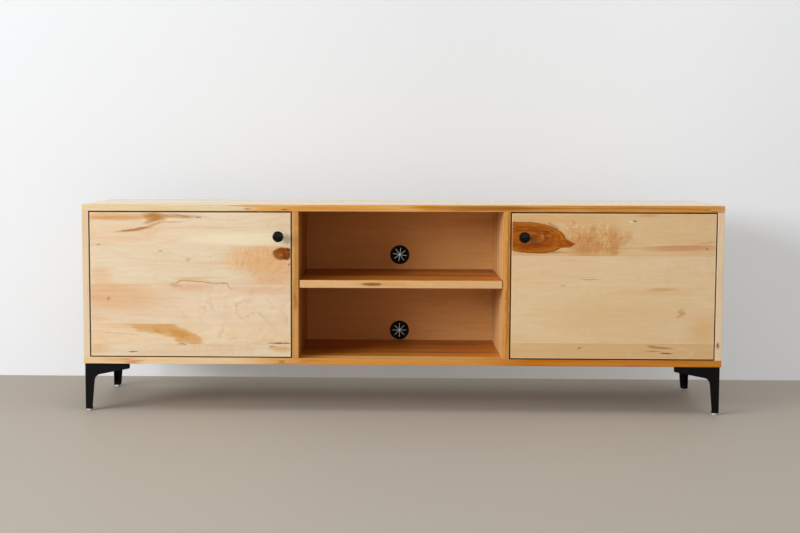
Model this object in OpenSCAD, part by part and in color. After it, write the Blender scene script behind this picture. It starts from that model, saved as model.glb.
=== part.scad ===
// Low media cabinet on four angle-iron legs: two inset doors on concealed
// hinges beside an open middle bay with one loose shelf. Millimetres, Z up,
// front towards -Y. The origin is on the floor, under the centre of the
// bounding box.

/* [Case] */
// Overall width of the case
case_w = 1829; // [1500:1:2200]
// Depth of the case, front edge to rear edge
case_d = 430; // [380:1:520]
// Height of the case without its legs
case_h = 460; // [400:1:560]
// Thickness of the top, bottom, sides and dividers
panel_t = 19; // [18:0.5:25]
// Radius of the eased edges of the top and bottom and of the uprights' front edges
panel_edge_r = 1; // [0.5:0.1:2]

/* [Back] */
// Thickness of the back panel
back_t = 12; // [9:0.5:16]
// How far the back panel sits in from the rear edges
back_recess = 18; // [10:1:30]
// Depth of the groove that holds the back panel's edges
back_groove = 6; // [4:0.5:9]
// Depth of a countersunk wood screw in the rear edge of a divider
back_screw_l = 30; // [24:1:45]

/* [Dowels] */
// Diameter of the beech dowels in the case's corners
dowel_dia = 8; // [6:0.5:9]
// How far a dowel enters the top or bottom panel
dowel_in_panel = 11; // [8:1:13]
// How far a dowel enters the end of a side or divider
dowel_in_upright = 18; // [12:1:28]

/* [Doors] */
// Thickness of a door
door_t = 19; // [18:0.5:22]
// Gap between a door and the upright beside it
door_gap = 3; // [2.8:0.1:4]
// Gap above a door
door_gap_top = 3; // [2:0.5:5]
// Gap below a door
door_gap_low = 3; // [2:0.5:5]
// Radius of a door's front edges
door_edge_r = 1.5; // [1.2:0.1:2.5]

/* [Hinges] */
// Diameter of the hinge cup
cup_dia = 35; // [34:0.5:36]
// Depth of the hinge cup in the door
cup_deep = 12.8; // [12.4:0.1:13.4]
// Wall of the hinge cup
cup_wall = 0.9; // [0.7:0.1:1.1]
// Cup centre to the door's hinge edge
cup_from_edge = 22.5; // [22:0.5:24]
// Cup centre to the nearer end of the door
cup_from_end = 85; // [60:1:120]
// Pivot pin to the door's hinge edge
pivot_from_edge = 16; // [15.5:0.1:17]
// Pivot pin to the door's inside face
pivot_from_back = 8.7; // [8.4:0.1:9]
// Diameter of the pivot pin
pivot_dia = 3; // [2.4:0.1:3.2]
// Width of the hinge arm
arm_w = 11; // [9:0.5:13]
// Thickness of the hinge arm
arm_t = 3; // [2.4:0.1:3.2]
// Pivot pin to the middle of the arm's drop into the cup
arm_toe = 15; // [14.8:0.1:15.6]
// Door's inside face to the middle of the arm's crossing
arm_clear = 15; // [14:0.5:20]
// Length of the arm along the side panel
arm_tail = 58; // [50:1:70]

/* [Knobs] */
// Diameter of the knob's head
knob_dia = 31.5; // [24:0.5:38]
// How far the knob stands out from the door
knob_out = 27; // [24:1:34]
// Knob centre to the door's free edge
knob_from_edge = 35; // [28:1:60]
// Knob centre to the door's top edge
knob_from_top = 68; // [40:1:110]

/* [Shelves] */
// Thickness of a shelf
shelf_t = 22; // [18:1:25]
// Clear height under the shelves
shelf_under = 203; // [140:1:260]
// Gap between a shelf's end and the upright
shelf_gap = 2.5; // [1.5:0.5:4]
// Middle shelf's front edge to the case's front
shelf_set = 3; // [0:1:20]
// Side shelves' front edge to the case's front
side_shelf_set = 62; // [50:1:90]
// Diameter of the shelf supports' pins and their holes
pin_dia = 5; // [4:0.5:6]
// Spacing of the shelf pin holes
pin_pitch = 32; // [24:1:40]
// Number of pin holes above and below the one in use
pin_spares = 2; // [1:1:2]

/* [Cable grommets] */
// Diameter of the grommet's flange
grommet_dia = 60; // [52:1:66]
// Diameter of the hole in the back panel
grommet_hole = 50; // [40:1:50]
// Upper grommet's centre above the middle shelf
upper_grommet_up = 45; // [36:1:80]
// Lower grommet's centre above the bottom panel
lower_grommet_up = 31; // [31:1:80]
// Number of slits in a grommet's star
slit_count = 8; // [6:1:10]
// Width of a slit
slit_w = 1.3; // [0.8:0.1:1.8]

/* [Legs] */
// Height of a leg without its glide
leg_h = 133; // [100:1:160]
// Length of a leg's two wings along the case
leg_wing = 130; // [100:1:150]
// Thickness of a leg's metal
leg_wall = 3; // [2.5:0.1:4]
// Width of a leg at its foot
leg_foot = 19.5; // [17:0.5:24]
// Width of a leg just under its bend
leg_knee = 28.5; // [24:0.5:34]
// Height of a wing's outer end
wing_end = 15.5; // [12:0.5:20]
// Depth of a wing where it reaches the bend
wing_root = 34.5; // [28:1:40]
// Radius of the bend between wing and leg
leg_bend_r = 21; // [14:1:24]
// Leg's outer face to the case's face
leg_inset = 3; // [0:0.5:8]
// Height of the glide under a leg
glide_h = 6; // [4:0.5:9]
// Diameter of the glide
glide_dia = 15; // [12:0.5:16]

/* [Hidden] */
$fn = 64;
fit = 0.05;                 // radial play of a pin or screw in its hole
play = 0.3;                 // play of the back panel in its groove

// Levels and faces of the case
case_z = leg_h + glide_h;
floor_z = case_z + panel_t;
ceiling_z = case_z + case_h - panel_t;
clear_h = ceiling_z - floor_z;
front_y = (knob_out - case_d) / 2;
rear_y = front_y + case_d;
back_y = rear_y - back_recess - back_t;
clear_d = back_y - front_y;
bay_w = (case_w - 4 * panel_t) / 3;
side_x = -case_w / 2;
left_bay_x = side_x + panel_t;
divider_x = left_bay_x + bay_w;
middle_bay_x = divider_x + panel_t;

// Doors, in a door's own frame: x from the hinge edge, y from its front face
door_w = bay_w - 2 * door_gap;
door_h = clear_h - door_gap_top - door_gap_low;
door_z = floor_z + door_gap_low;
cup_zs = [cup_from_end, door_h - cup_from_end];
cup_y = door_t - cup_deep;
pivot_y = door_t - pivot_from_back;
knob_x = door_w - knob_from_edge;
knob_z = door_h - knob_from_top;

// Hinge cup: its flange on the door's inside face and the ears that hold the pin
flange_t = 1.2;
flange_w = 21;
flange_h = 62;
rim_w = 1.5;
cup_screw_gap = 45;
cup_screw_x = cup_from_edge + 9.5;
cup_screw_l = 13;
ear_t = 1.6;
ear_w = 6.8;
ear_gap = 0.4;
ear_over_pin = 2.4;
pin_l = arm_w + 2 * ear_gap + 2 * ear_t + 1;

// Hinge arm and its mounting plate on the side panel
knuckle_r = pivot_dia / 2 + 1.1;
arm_drop_x = pivot_from_edge + arm_toe;
arm_y = door_t + arm_clear;
plate_t = 2.5;
plate_h = 50;
plate_w = 20;
plate_from_arm = 22;        // middle of the mounting plate behind the arm's web
plate_y = arm_y + plate_from_arm;
plate_screw_gap = 32;
plate_screw_l = 15;
spine_w = 14;
spine_t = 6.5;
spine_front = arm_y + 4;
spine_l = arm_tail - 8;
tail_x = spine_t - door_gap + arm_t / 2;
clamp_y = arm_y + arm_tail - 12;
clamp_r = 2;
clamp_floor = 1.5;          // metal left under the clamp screw
clamp_head_r = 4.2;
clamp_head_h = 2;
slot_w = 1;                 // driver's slot in a screw's head
slot_deep = 0.8;

// Catch under the top panel and its strike on the door
catch_w = 46;
catch_d = 15;
catch_h = 12;
catch_screw_gap = 34;
catch_screw_l = 25;
magnet_w = 22;
magnet_d = 9;
magnet_h = 6;
strike_w = 36;
strike_h = 14;
strike_t = 1.2;
strike_play = 0.4;
strike_screw_l = 12;
catch_from_edge = 75;        // middle of the catch from the door's inner edge
catch_x = door_w - catch_from_edge;
catch_y = door_t + strike_t + strike_play;
strike_z = door_h - strike_h / 2;

// Knob
knob_base_r = 6.5;
knob_base_h = 2;
knob_neck_r = 4.8;
knob_edge_r = 4;
knob_dome_r = 48;
knob_flare_h = 4;
knob_screw_r = 2;
knob_thread = 12;
knob_screw_head_r = 4;
knob_screw_head_h = 2.4;

// Wood screws
screw_r = 1.75;
screw_head_r = 3.6;
screw_head_h = 2.2;
over = 1;                   // how far a cutter reaches past a face

// Shelves
shelf_w = bay_w - 2 * shelf_gap;
shelf_z = floor_z + shelf_under;
shelf_edge_r = 1.5;
pin_deep = 8;
pin_from_front = 85;
pin_from_back = 55;
pin_ys = [front_y + pin_from_front, back_y - pin_from_back];
pad_l = 8;                  // flat pad of a shelf support
pad_w = 12;
pad_h = 2.5;

// Middles of the four uprights
upright_xs = [
    side_x + panel_t / 2,
    divider_x + panel_t / 2,
    -divider_x - panel_t / 2,
    -side_x - panel_t / 2
];

// Dowels and back screws
dowel_ys = [for (share = [0.1, 0.37, 0.63, 0.9]) front_y + share * clear_d];
back_screw_zs = [for (share = [0.12, 0.38, 0.62, 0.88]) floor_z + share * clear_h];

// Grommets
grommet_flange_t = 2.2;
shelf_back_gap = grommet_flange_t + 0.8; // a shelf passes the flange as it lifts
grommet_wall = 2;
grommet_star_t = 1.6;
grommet_round = 1;
grommet_bore_r = grommet_hole / 2 - grommet_wall;
star_hole_r = 3;
slit_margin = 1.5;          // rubber left between a slit's end and the ring
upper_star_turn = -9;
upper_grommet_z = shelf_z + shelf_t + upper_grommet_up;
lower_grommet_z = floor_z + lower_grommet_up;

// Legs, in a leg's own frame: corner at the origin, wings along +x and +y
wing_round_r = 4;
wing_round_steps = 6;
bend_steps = 12;
leg_plate_t = 3;
leg_plate_w = 54;           // the top plate's reach from the corner along its diagonal cut
leg_screw_in = 14;
leg_screw_near = 46;
leg_screw_from_tip = 30;
leg_screw_far = leg_wing - leg_screw_from_tip;
leg_screw_l = 15;
leg_corner_r = 2;           // outside of the fold between the wings
foot_plate_t = 3;
foot_corner_r = 5;
glide_round = 2;
glide_bolt_r = 2.5;
glide_bolt_head_r = 4.5;
glide_bolt_head_h = 2.5;
glide_bolt_floor = 2;       // nylon left under the bolt's head
glide_nut_d = 9.2;          // across the nut's corners
glide_nut_h = 4;
glide_bolt_end = 1.5;       // bolt that shows above the nut
leg_x = case_w / 2 - leg_inset;

// The right half mirrors the left
module right() { mirror([1, 0, 0]) children(); }

// A cylinder along +y, starting at the given point
module rod_y(at, r, l) { translate(at) rotate([-90, 0, 0]) cylinder(r = r, h = l); }

// A cylinder along +x, starting at the given point
module rod_x(at, r, l) { translate(at) rotate([0, 90, 0]) cylinder(r = r, h = l); }

// Rectangle from the origin with its corners rounded
module rounded(w, d, r) {
    translate([0, r]) square([w, d - 2 * r]);
    translate([r, 0]) square([w - 2 * r, d]);
    for (x = [r, w - r], y = [r, d - r]) translate([x, y]) circle(r = r);
}

// Rectangle from the origin with only its two front corners rounded
module front_rounded(w, d, r) {
    translate([0, r]) square([w, d - r]);
    translate([r, 0]) square([w - 2 * r, d]);
    for (x = [r, w - r]) translate([x, r]) circle(r = r);
}

// Board from the origin with all its edges eased
module eased_board(w, d, h, r) {
    intersection() {
        linear_extrude(height = h) rounded(w, d, r);
        translate([0, d, 0]) rotate([90, 0, 0]) linear_extrude(height = d) rounded(w, h, r);
        rotate([90, 0, 90]) linear_extrude(height = w) rounded(d, h, r);
    }
}

// A countersunk wood screw along +z, its head's face at the origin
module wood_screw(l) {
    cylinder(r1 = screw_head_r, r2 = screw_r, h = screw_head_h);
    cylinder(r = screw_r, h = l);
}

// The hole for that screw: countersink and pilot
module screw_hole(l) {
    translate([0, 0, -over]) cylinder(r = screw_head_r + fit, h = over);
    cylinder(r1 = screw_head_r + fit, r2 = screw_r + fit, h = screw_head_h);
    cylinder(r = screw_r + fit, h = l + fit);
}

// Frames of the left door and of each of its hinges
module at_left_door() { translate([left_bay_x + door_gap, front_y, door_z]) children(); }
module at_left_hinges() { at_left_door() for (z = cup_zs) translate([0, 0, z]) children(); }

// Where screws start, each pointing along the screw
module back_screw_places() {
    for (z = back_screw_zs)
        translate([upright_xs[1], back_y + back_t, z]) rotate([90, 0, 0]) children();
}

module cup_screw_places() {
    for (side = [-1, 1])
        translate([cup_screw_x, door_t + flange_t, side * cup_screw_gap / 2])
            rotate([90, 0, 0]) children();
}

module plate_screw_places() {
    for (side = [-1, 1])
        translate([plate_t - door_gap, plate_y, side * plate_screw_gap / 2])
            rotate([0, -90, 0]) children();
}

module catch_screw_places() {
    for (side = [-1, 1])
        translate([left_bay_x + door_gap + catch_x + side * catch_screw_gap / 2,
                   front_y + catch_y + catch_d / 2, ceiling_z - catch_h]) children();
}

module strike_screw_place() {
    translate([catch_x, door_t + strike_t, strike_z]) rotate([90, 0, 0]) children();
}

// Bores for the dowels at each x, upwards from height z
module dowel_bores(xs, z, l) {
    for (x = xs, y = dowel_ys)
        translate([x, y, z]) cylinder(d = dowel_dia + 2 * fit, h = l);
}

// Bores in both ends of an upright
module upright_bores(x) {
    l = dowel_in_upright + play;
    dowel_bores([x], floor_z, l);
    dowel_bores([x], ceiling_z - l, l);
}

// Rows of shelf pin holes in an upright's face at x, on its side towards way
module pin_row(x, way) {
    l = pin_deep + play;
    for (y = pin_ys, n = [-pin_spares : pin_spares])
        rod_x([way > 0 ? x : x - l, y, shelf_z - pin_dia / 2 + n * pin_pitch], pin_dia / 2 + fit, l);
}

// Groove in the panels for the back
module back_space() {
    reach = back_groove + play;
    translate([left_bay_x - reach, back_y - fit, floor_z - reach])
        cube([case_w - 2 * panel_t + 2 * reach, back_t + 2 * fit, clear_h + 2 * reach]);
}

module top_panel() {
    l = dowel_in_panel + play;
    color("#dba45a") difference() {
        translate([side_x, front_y, ceiling_z]) eased_board(case_w, case_d, panel_t, panel_edge_r);
        back_space();
        dowel_bores(upright_xs, ceiling_z, l);
        catch_screw_places() screw_hole(catch_screw_l);
        right() catch_screw_places() screw_hole(catch_screw_l);
    }
}

module bottom_panel() {
    l = dowel_in_panel + play;
    color("#d2933f") difference() {
        translate([side_x, front_y, case_z]) eased_board(case_w, case_d, panel_t, panel_edge_r);
        back_space();
        dowel_bores(upright_xs, floor_z - l, l);
        at_legs() leg_screw_places() screw_hole(leg_screw_l);
    }
}

module left_side() {
    color("#e8c794") difference() {
        translate([side_x, front_y, floor_z])
            linear_extrude(height = clear_h) front_rounded(panel_t, case_d, panel_edge_r);
        back_space();
        upright_bores(upright_xs[0]);
        pin_row(left_bay_x, -1);
        at_left_hinges() plate_screw_places() screw_hole(plate_screw_l);
    }
}

module right_side() { right() left_side(); }

module left_divider() {
    color("#dcae6c") difference() {
        translate([divider_x, front_y, floor_z])
            linear_extrude(height = clear_h) front_rounded(panel_t, clear_d, panel_edge_r);
        upright_bores(upright_xs[1]);
        pin_row(divider_x, 1);
        pin_row(middle_bay_x, -1);
        back_screw_places() screw_hole(back_screw_l);
    }
}

module right_divider() { right() left_divider(); }

module back_panel() {
    color("#b98350") difference() {
        translate([left_bay_x - back_groove, back_y, floor_z - back_groove])
            cube([case_w - 2 * panel_t + 2 * back_groove, back_t, clear_h + 2 * back_groove]);
        for (z = [upper_grommet_z, lower_grommet_z])
            rod_y([0, back_y - over, z], grommet_hole / 2, back_t + 2 * over);
        back_screw_places() screw_hole(back_screw_l);
        right() back_screw_places() screw_hole(back_screw_l);
    }
}

module case_dowels() {
    l = dowel_in_panel + dowel_in_upright;
    color("tan") for (x = upright_xs, y = dowel_ys)
        for (z = [floor_z - dowel_in_panel, ceiling_z - dowel_in_upright])
            translate([x, y, z]) cylinder(d = dowel_dia, h = l);
}

module back_screws() {
    color("silver") {
        back_screw_places() wood_screw(back_screw_l);
        right() back_screw_places() wood_screw(back_screw_l);
    }
}

// Grommet at height z: a flanged ring in the back panel's hole
module grommet_ring(z) {
    wall_l = back_t + grommet_flange_t;
    color("#161616") translate([0, back_y, z]) rotate([90, 0, 0]) difference() {
        union() {
            cylinder(d = grommet_dia, h = grommet_flange_t);
            translate([0, 0, -back_t]) cylinder(d = grommet_hole - 2 * fit, h = back_t);
        }
        translate([0, 0, -back_t - over]) cylinder(r = grommet_bore_r, h = wall_l + 2 * over);
        translate([0, 0, grommet_flange_t])
            rotate_extrude() translate([grommet_dia / 2, 0]) circle(r = grommet_round);
    }
}

// Flexible disc across the ring, slit into fingers that a cable pushes aside
module grommet_star(z, turn) {
    color("#101010") translate([0, back_y, z]) rotate([90, 0, 0]) difference() {
        cylinder(r = grommet_bore_r, h = grommet_star_t);
        translate([0, 0, -over]) cylinder(r = star_hole_r, h = grommet_star_t + 2 * over);
        for (n = [0 : slit_count - 1])
            rotate(turn + n * 360 / slit_count) translate([0, -slit_w / 2, -over])
                cube([grommet_bore_r - slit_margin, slit_w, grommet_star_t + 2 * over]);
    }
}

module upper_grommet_ring() { grommet_ring(upper_grommet_z); }
module upper_grommet_star() { grommet_star(upper_grommet_z, upper_star_turn); }
module lower_grommet_ring() { grommet_ring(lower_grommet_z); }
module lower_grommet_star() { grommet_star(lower_grommet_z, 0); }

// Door slab: square inner edges and rounded front edges
module door_slab() {
    intersection() {
        linear_extrude(height = door_h) front_rounded(door_w, door_t, door_edge_r);
        mirror([1, 0, 0]) rotate([0, -90, 0]) linear_extrude(height = door_w)
            front_rounded(door_h, door_t, door_edge_r);
    }
}

module left_door() {
    color("#ecd2a6") at_left_door() difference() {
        door_slab();
        for (z = cup_zs) translate([0, 0, z]) {
            rod_y([cup_from_edge, cup_y, 0], cup_dia / 2 + fit, cup_deep + over);
            cup_screw_places() screw_hole(cup_screw_l);
        }
        rod_y([knob_x, -over, knob_z], knob_screw_r + fit, door_t + 2 * over);
        strike_screw_place() screw_hole(strike_screw_l);
    }
}

module right_door() { right() left_door(); }

// Half section of a knob, its axis along y: base, neck, flare and domed head
module knob_profile() {
    head_r = knob_dia / 2;
    rim_x = head_r - knob_edge_r;
    head_y = knob_out - 2 * knob_edge_r;
    flare_y = head_y - knob_flare_h;
    square([knob_base_r, knob_base_h]);
    square([knob_neck_r, head_y]);
    polygon([[0, flare_y], [knob_neck_r, flare_y], [rim_x, head_y], [0, head_y]]);
    intersection() {
        union() {
            translate([0, head_y]) square([rim_x, 2 * knob_edge_r]);
            translate([rim_x, head_y + knob_edge_r]) circle(r = knob_edge_r);
        }
        translate([0, knob_out - knob_dome_r]) circle(r = knob_dome_r);
        square([head_r, knob_out]);
    }
}

module left_knob() {
    color("#141414") at_left_door() translate([knob_x, 0, knob_z]) rotate([90, 0, 0]) difference() {
        rotate_extrude() knob_profile();
        translate([0, 0, -over]) cylinder(r = knob_screw_r + fit, h = knob_thread + over + play);
    }
}

module right_knob() { right() left_knob(); }

module left_knob_screw() {
    slot_y = door_t + knob_screw_head_h - slot_deep;
    color("silver") at_left_door() {
        rod_y([knob_x, -knob_thread, knob_z], knob_screw_r, knob_thread + door_t);
        difference() {
            rod_y([knob_x, door_t, knob_z], knob_screw_head_r, knob_screw_head_h);
            translate([knob_x - knob_screw_head_r, slot_y, knob_z - slot_w / 2])
                cube([2 * knob_screw_head_r, slot_deep + over, slot_w]);
        }
    }
}

module right_knob_screw() { right() left_knob_screw(); }

// Hinge cup in the door: shell, flange and the two ears that hold the pivot pin
module hinge_cup() {
    inner_r = cup_dia / 2 - cup_wall;
    ear_z = arm_w / 2 + ear_gap + ear_t / 2;
    difference() {
        union() {
            rod_y([cup_from_edge, cup_y, 0], cup_dia / 2, cup_deep);
            rod_y([cup_from_edge, door_t, 0], cup_dia / 2 + rim_w, flange_t);
            translate([cup_screw_x - flange_w / 2, door_t, -flange_h / 2])
                cube([flange_w, flange_t, flange_h]);
        }
        rod_y([cup_from_edge, cup_y + cup_wall, 0], inner_r, cup_deep + flange_t);
        cup_screw_places() screw_hole(cup_screw_l);
    }
    for (side = [-1, 1])
        translate([pivot_from_edge, 0, side * ear_z - ear_t / 2]) difference() {
            translate([-ear_w / 2, cup_y + cup_wall / 2, 0])
                cube([ear_w, pivot_y - cup_y + ear_over_pin, ear_t]);
            translate([0, pivot_y, -over]) cylinder(r = pivot_dia / 2 + fit, h = ear_t + 2 * over);
        }
}

module left_hinge_cups() { color("silver") at_left_hinges() hinge_cup(); }
module right_hinge_cups() { right() left_hinge_cups(); }

module left_hinge_pins() {
    color("gray") at_left_hinges()
        translate([pivot_from_edge, pivot_y, -pin_l / 2]) cylinder(d = pivot_dia, h = pin_l);
}

module right_hinge_pins() { right() left_hinge_pins(); }

// The arm in plan: knuckle on the pin, toe in the cup, drop, crossing and tail.
// The hook keeps clear of the door's rear corner at every angle.
module arm_plan() {
    translate([pivot_from_edge, pivot_y]) circle(r = knuckle_r);
    for (bend = [[arm_drop_x, pivot_y], [arm_drop_x, arm_y], [tail_x, arm_y]])
        translate(bend) circle(d = arm_t);
    translate([pivot_from_edge, pivot_y - arm_t / 2]) square([arm_toe, arm_t]);
    translate([arm_drop_x - arm_t / 2, pivot_y]) square([arm_t, arm_y - pivot_y]);
    translate([tail_x, arm_y - arm_t / 2]) square([arm_drop_x - tail_x, arm_t]);
    translate([tail_x - arm_t / 2, arm_y]) square([arm_t, arm_tail]);
}

module left_hinge_arms() {
    color("lightgray") at_left_hinges() difference() {
        translate([0, 0, -arm_w / 2]) linear_extrude(height = arm_w) arm_plan();
        translate([pivot_from_edge, pivot_y, -arm_w])
            cylinder(r = pivot_dia / 2 + fit, h = 2 * arm_w);
        rod_x([0, clamp_y, 0], clamp_r + fit, 2 * spine_t);
    }
}

module right_hinge_arms() { right() left_hinge_arms(); }

// Mounting plate on the side panel: a cross plate and the spine the arm lies on
module hinge_plate() {
    difference() {
        translate([-door_gap, 0, 0]) {
            translate([0, plate_y - plate_w / 2, -plate_h / 2]) cube([plate_t, plate_w, plate_h]);
            translate([0, spine_front, -spine_w / 2]) cube([spine_t, spine_l, spine_w]);
        }
        plate_screw_places() screw_hole(plate_screw_l);
        rod_x([clamp_floor - door_gap, clamp_y, 0], clamp_r + fit, spine_t);
    }
}

module left_hinge_plates() { color("silver") at_left_hinges() hinge_plate(); }
module right_hinge_plates() { right() left_hinge_plates(); }

// Two wood screws in each plate, and the clamp screw that holds the arm on it
module left_plate_screws() {
    face = spine_t + arm_t - door_gap;
    start = clamp_floor + play - door_gap;
    color("gray") at_left_hinges() {
        plate_screw_places() wood_screw(plate_screw_l);
        rod_x([start, clamp_y, 0], clamp_r, face - start);
        difference() {
            rod_x([face, clamp_y, 0], clamp_head_r, clamp_head_h);
            translate([face + clamp_head_h - slot_deep, clamp_y - slot_w / 2, -clamp_head_r])
                cube([slot_deep + over, slot_w, 2 * clamp_head_r]);
        }
    }
}

module right_plate_screws() { right() left_plate_screws(); }

module left_cup_screws() { color("gray") at_left_hinges() cup_screw_places() wood_screw(cup_screw_l); }
module right_cup_screws() { right() left_cup_screws(); }

// Block with a pocket for the magnet, open to the front
module left_catch() {
    color("#e9e6df") difference() {
        translate([left_bay_x + door_gap + catch_x - catch_w / 2, front_y + catch_y, ceiling_z - catch_h])
            cube([catch_w, catch_d, catch_h]);
        magnet_space(fit);
        catch_screw_places() screw_hole(catch_screw_l);
    }
}

module right_catch() { right() left_catch(); }

// The magnet's block, larger by the given clearance except in front
module magnet_space(clearance) {
    translate([left_bay_x + door_gap + catch_x - magnet_w / 2 - clearance,
               front_y + catch_y - (clearance > 0 ? over : 0),
               ceiling_z - catch_h / 2 - magnet_h / 2 - clearance])
        cube([magnet_w + 2 * clearance,
              magnet_d + clearance + (clearance > 0 ? over : 0),
              magnet_h + 2 * clearance]);
}

module left_catch_magnet() { color("#4a4a4c") magnet_space(0); }
module right_catch_magnet() { right() left_catch_magnet(); }

module catch_screws() {
    color("gray") {
        catch_screw_places() wood_screw(catch_screw_l);
        right() catch_screw_places() wood_screw(catch_screw_l);
    }
}

module left_strike() {
    color("silver") at_left_door() difference() {
        translate([catch_x - strike_w / 2, door_t, door_h - strike_h])
            cube([strike_w, strike_t, strike_h]);
        strike_screw_place() screw_hole(strike_screw_l);
    }
}

module right_strike() { right() left_strike(); }

module left_strike_screw() { color("gray") at_left_door() strike_screw_place() wood_screw(strike_screw_l); }
module right_strike_screw() { right() left_strike_screw(); }

// A shelf with rounded front edges, from x and with its front at y
module shelf(x, y) {
    translate([x, y, shelf_z]) mirror([1, 0, 0]) rotate([0, -90, 0]) linear_extrude(height = shelf_w)
        front_rounded(shelf_t, back_y - shelf_back_gap - y, shelf_edge_r);
}

module middle_shelf() { color("#d9ab74") shelf(middle_bay_x + shelf_gap, front_y + shelf_set); }
module left_shelf() { color("#d9ab74") shelf(left_bay_x + shelf_gap, front_y + side_shelf_set); }
module right_shelf() { right() left_shelf(); }

// Shelf support: a pin in the upright and a flat pad under the shelf
module shelf_support() {
    rod_x([-pin_deep, 0, -pin_dia / 2], pin_dia / 2, pin_deep + pad_l);
    translate([0, -pad_w / 2, -pad_h]) cube([pad_l, pad_w, pad_h]);
}

// Four supports for the shelf in the bay that starts at x
module shelf_supports(x) {
    color("silver") for (y = pin_ys) {
        translate([x, y, shelf_z]) shelf_support();
        translate([x + bay_w, y, shelf_z]) right() shelf_support();
    }
}

module middle_shelf_pins() { shelf_supports(middle_bay_x); }
module left_shelf_pins() { shelf_supports(left_bay_x); }
module right_shelf_pins() { right() left_shelf_pins(); }

// Outline of a wing, x along the case and y down: end, sloping underside,
// bend and tapering leg
module wing_outline() {
    under = atan((wing_root - wing_end) / (leg_wing - leg_knee));
    taper = atan((leg_knee - leg_foot) / (leg_h - wing_root));
    half = (90 - under - taper) / 2;
    // The bend's centre is one radius from both the underside and the leg's inner edge
    reach = leg_bend_r * tan(half);
    start = [leg_knee + reach * cos(under), wing_root - reach * sin(under)];
    centre = start + leg_bend_r * [sin(under), cos(under)];
    polygon(concat(
        [[0, 0], [leg_wing, 0]],
        [for (n = [0 : wing_round_steps]) let (a = 90 * n / wing_round_steps)
            [leg_wing - wing_round_r * (1 - cos(a)), wing_end - wing_round_r * (1 - sin(a))]],
        [for (n = [0 : bend_steps]) let (a = 270 - under - 2 * half * n / bend_steps)
            centre + leg_bend_r * [cos(a), sin(a)]],
        [[leg_foot, leg_h], [0, leg_h]]
    ));
}

module wing() {
    translate([0, leg_wall, case_z]) rotate([90, 0, 0]) linear_extrude(height = leg_wall)
        mirror([0, 1]) wing_outline();
}

// The leg's plan limit, with the fold between its wings rounded outside
module fold_plan() {
    r = leg_corner_r;
    translate([r, 0]) square([leg_wing, leg_wing + r]);
    translate([0, r]) square([leg_wing + r, leg_wing]);
    translate([r, r]) circle(r = r);
}

// Plan of the closed foot, its inner corner rounded
module foot_plan() {
    side = leg_foot - foot_corner_r;
    square([leg_foot, side]);
    square([side, leg_foot]);
    translate([side, side]) circle(r = foot_corner_r);
}

// Plan of the plate that screws to the case
module leg_plate_plan() {
    near = leg_plate_w - leg_screw_in;
    polygon([
        [0, 0], [leg_wing, 0], [leg_wing, leg_wall], [leg_plate_w, near],
        [near, leg_plate_w], [leg_wall, leg_wing], [0, leg_wing]
    ]);
}

// Leg: two wings at a right angle, a top plate and a closed foot
module leg() {
    difference() {
        intersection() {
            union() {
                wing();
                mirror([1, -1, 0]) wing();
                translate([0, 0, case_z - leg_plate_t])
                    linear_extrude(height = leg_plate_t) leg_plate_plan();
                translate([0, 0, glide_h]) linear_extrude(height = foot_plate_t) foot_plan();
            }
            linear_extrude(height = case_z) fold_plan();
        }
        at_foot() cylinder(r = glide_bolt_r + fit, h = glide_h + foot_plate_t + over);
        leg_screw_places() screw_hole(leg_screw_l);
    }
}

// A leg's frame: the corner of the case on side sx at the end sy
module at_leg(sx, sy) {
    y = sy < 0 ? front_y + leg_inset : rear_y - leg_inset;
    translate([sx * leg_x, y, 0])
        mirror([sx > 0 ? 1 : 0, 0, 0]) mirror([0, sy > 0 ? 1 : 0, 0]) children();
}

module at_legs() { for (sx = [-1, 1], sy = [-1, 1]) at_leg(sx, sy) children(); }

module leg_screw_places() {
    for (along = [leg_screw_near, leg_screw_far], at = [[leg_screw_in, along], [along, leg_screw_in]])
        translate([at[0], at[1], case_z - leg_plate_t]) children();
}

module front_left_leg() { color("#17171a") at_leg(-1, -1) leg(); }
module front_right_leg() { color("#17171a") at_leg(1, -1) leg(); }
module rear_left_leg() { color("#17171a") at_leg(-1, 1) leg(); }
module rear_right_leg() { color("#17171a") at_leg(1, 1) leg(); }
module leg_screws() { color("#202022") at_legs() leg_screw_places() wood_screw(leg_screw_l); }

// Middle of a leg's foot, in the leg's frame
module at_foot() { translate([leg_foot / 2, leg_foot / 2, 0]) children(); }

// Clear nylon glide, moulded round its bolt's head
module glide() {
    r = glide_round;
    color("#e6e6e2") at_foot() difference() {
        rotate_extrude() {
            square([glide_dia / 2 - r, glide_h]);
            translate([0, r]) square([glide_dia / 2, glide_h - r]);
            translate([glide_dia / 2 - r, r]) circle(r = r);
        }
        translate([0, 0, glide_bolt_floor]) {
            cylinder(r = glide_bolt_head_r, h = glide_bolt_head_h);
            cylinder(r = glide_bolt_r, h = glide_h);
        }
    }
}

// Bolts in the glides, up through the feet
module glide_bolts() {
    top = glide_h + foot_plate_t + glide_nut_h + glide_bolt_end;
    color("silver") at_legs() at_foot() translate([0, 0, glide_bolt_floor]) {
        cylinder(r = glide_bolt_head_r, h = glide_bolt_head_h);
        cylinder(r = glide_bolt_r, h = top - glide_bolt_floor);
    }
}

// Hexagon nuts on the feet
module glide_nuts() {
    color("silver") at_legs() at_foot() translate([0, 0, glide_h + foot_plate_t]) difference() {
        cylinder(d = glide_nut_d, h = glide_nut_h, $fn = 6);
        translate([0, 0, -over]) cylinder(r = glide_bolt_r + fit, h = glide_nut_h + 2 * over);
    }
}

module front_left_glide() { at_leg(-1, -1) glide(); }
module front_right_glide() { at_leg(1, -1) glide(); }
module rear_left_glide() { at_leg(-1, 1) glide(); }
module rear_right_glide() { at_leg(1, 1) glide(); }

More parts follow.
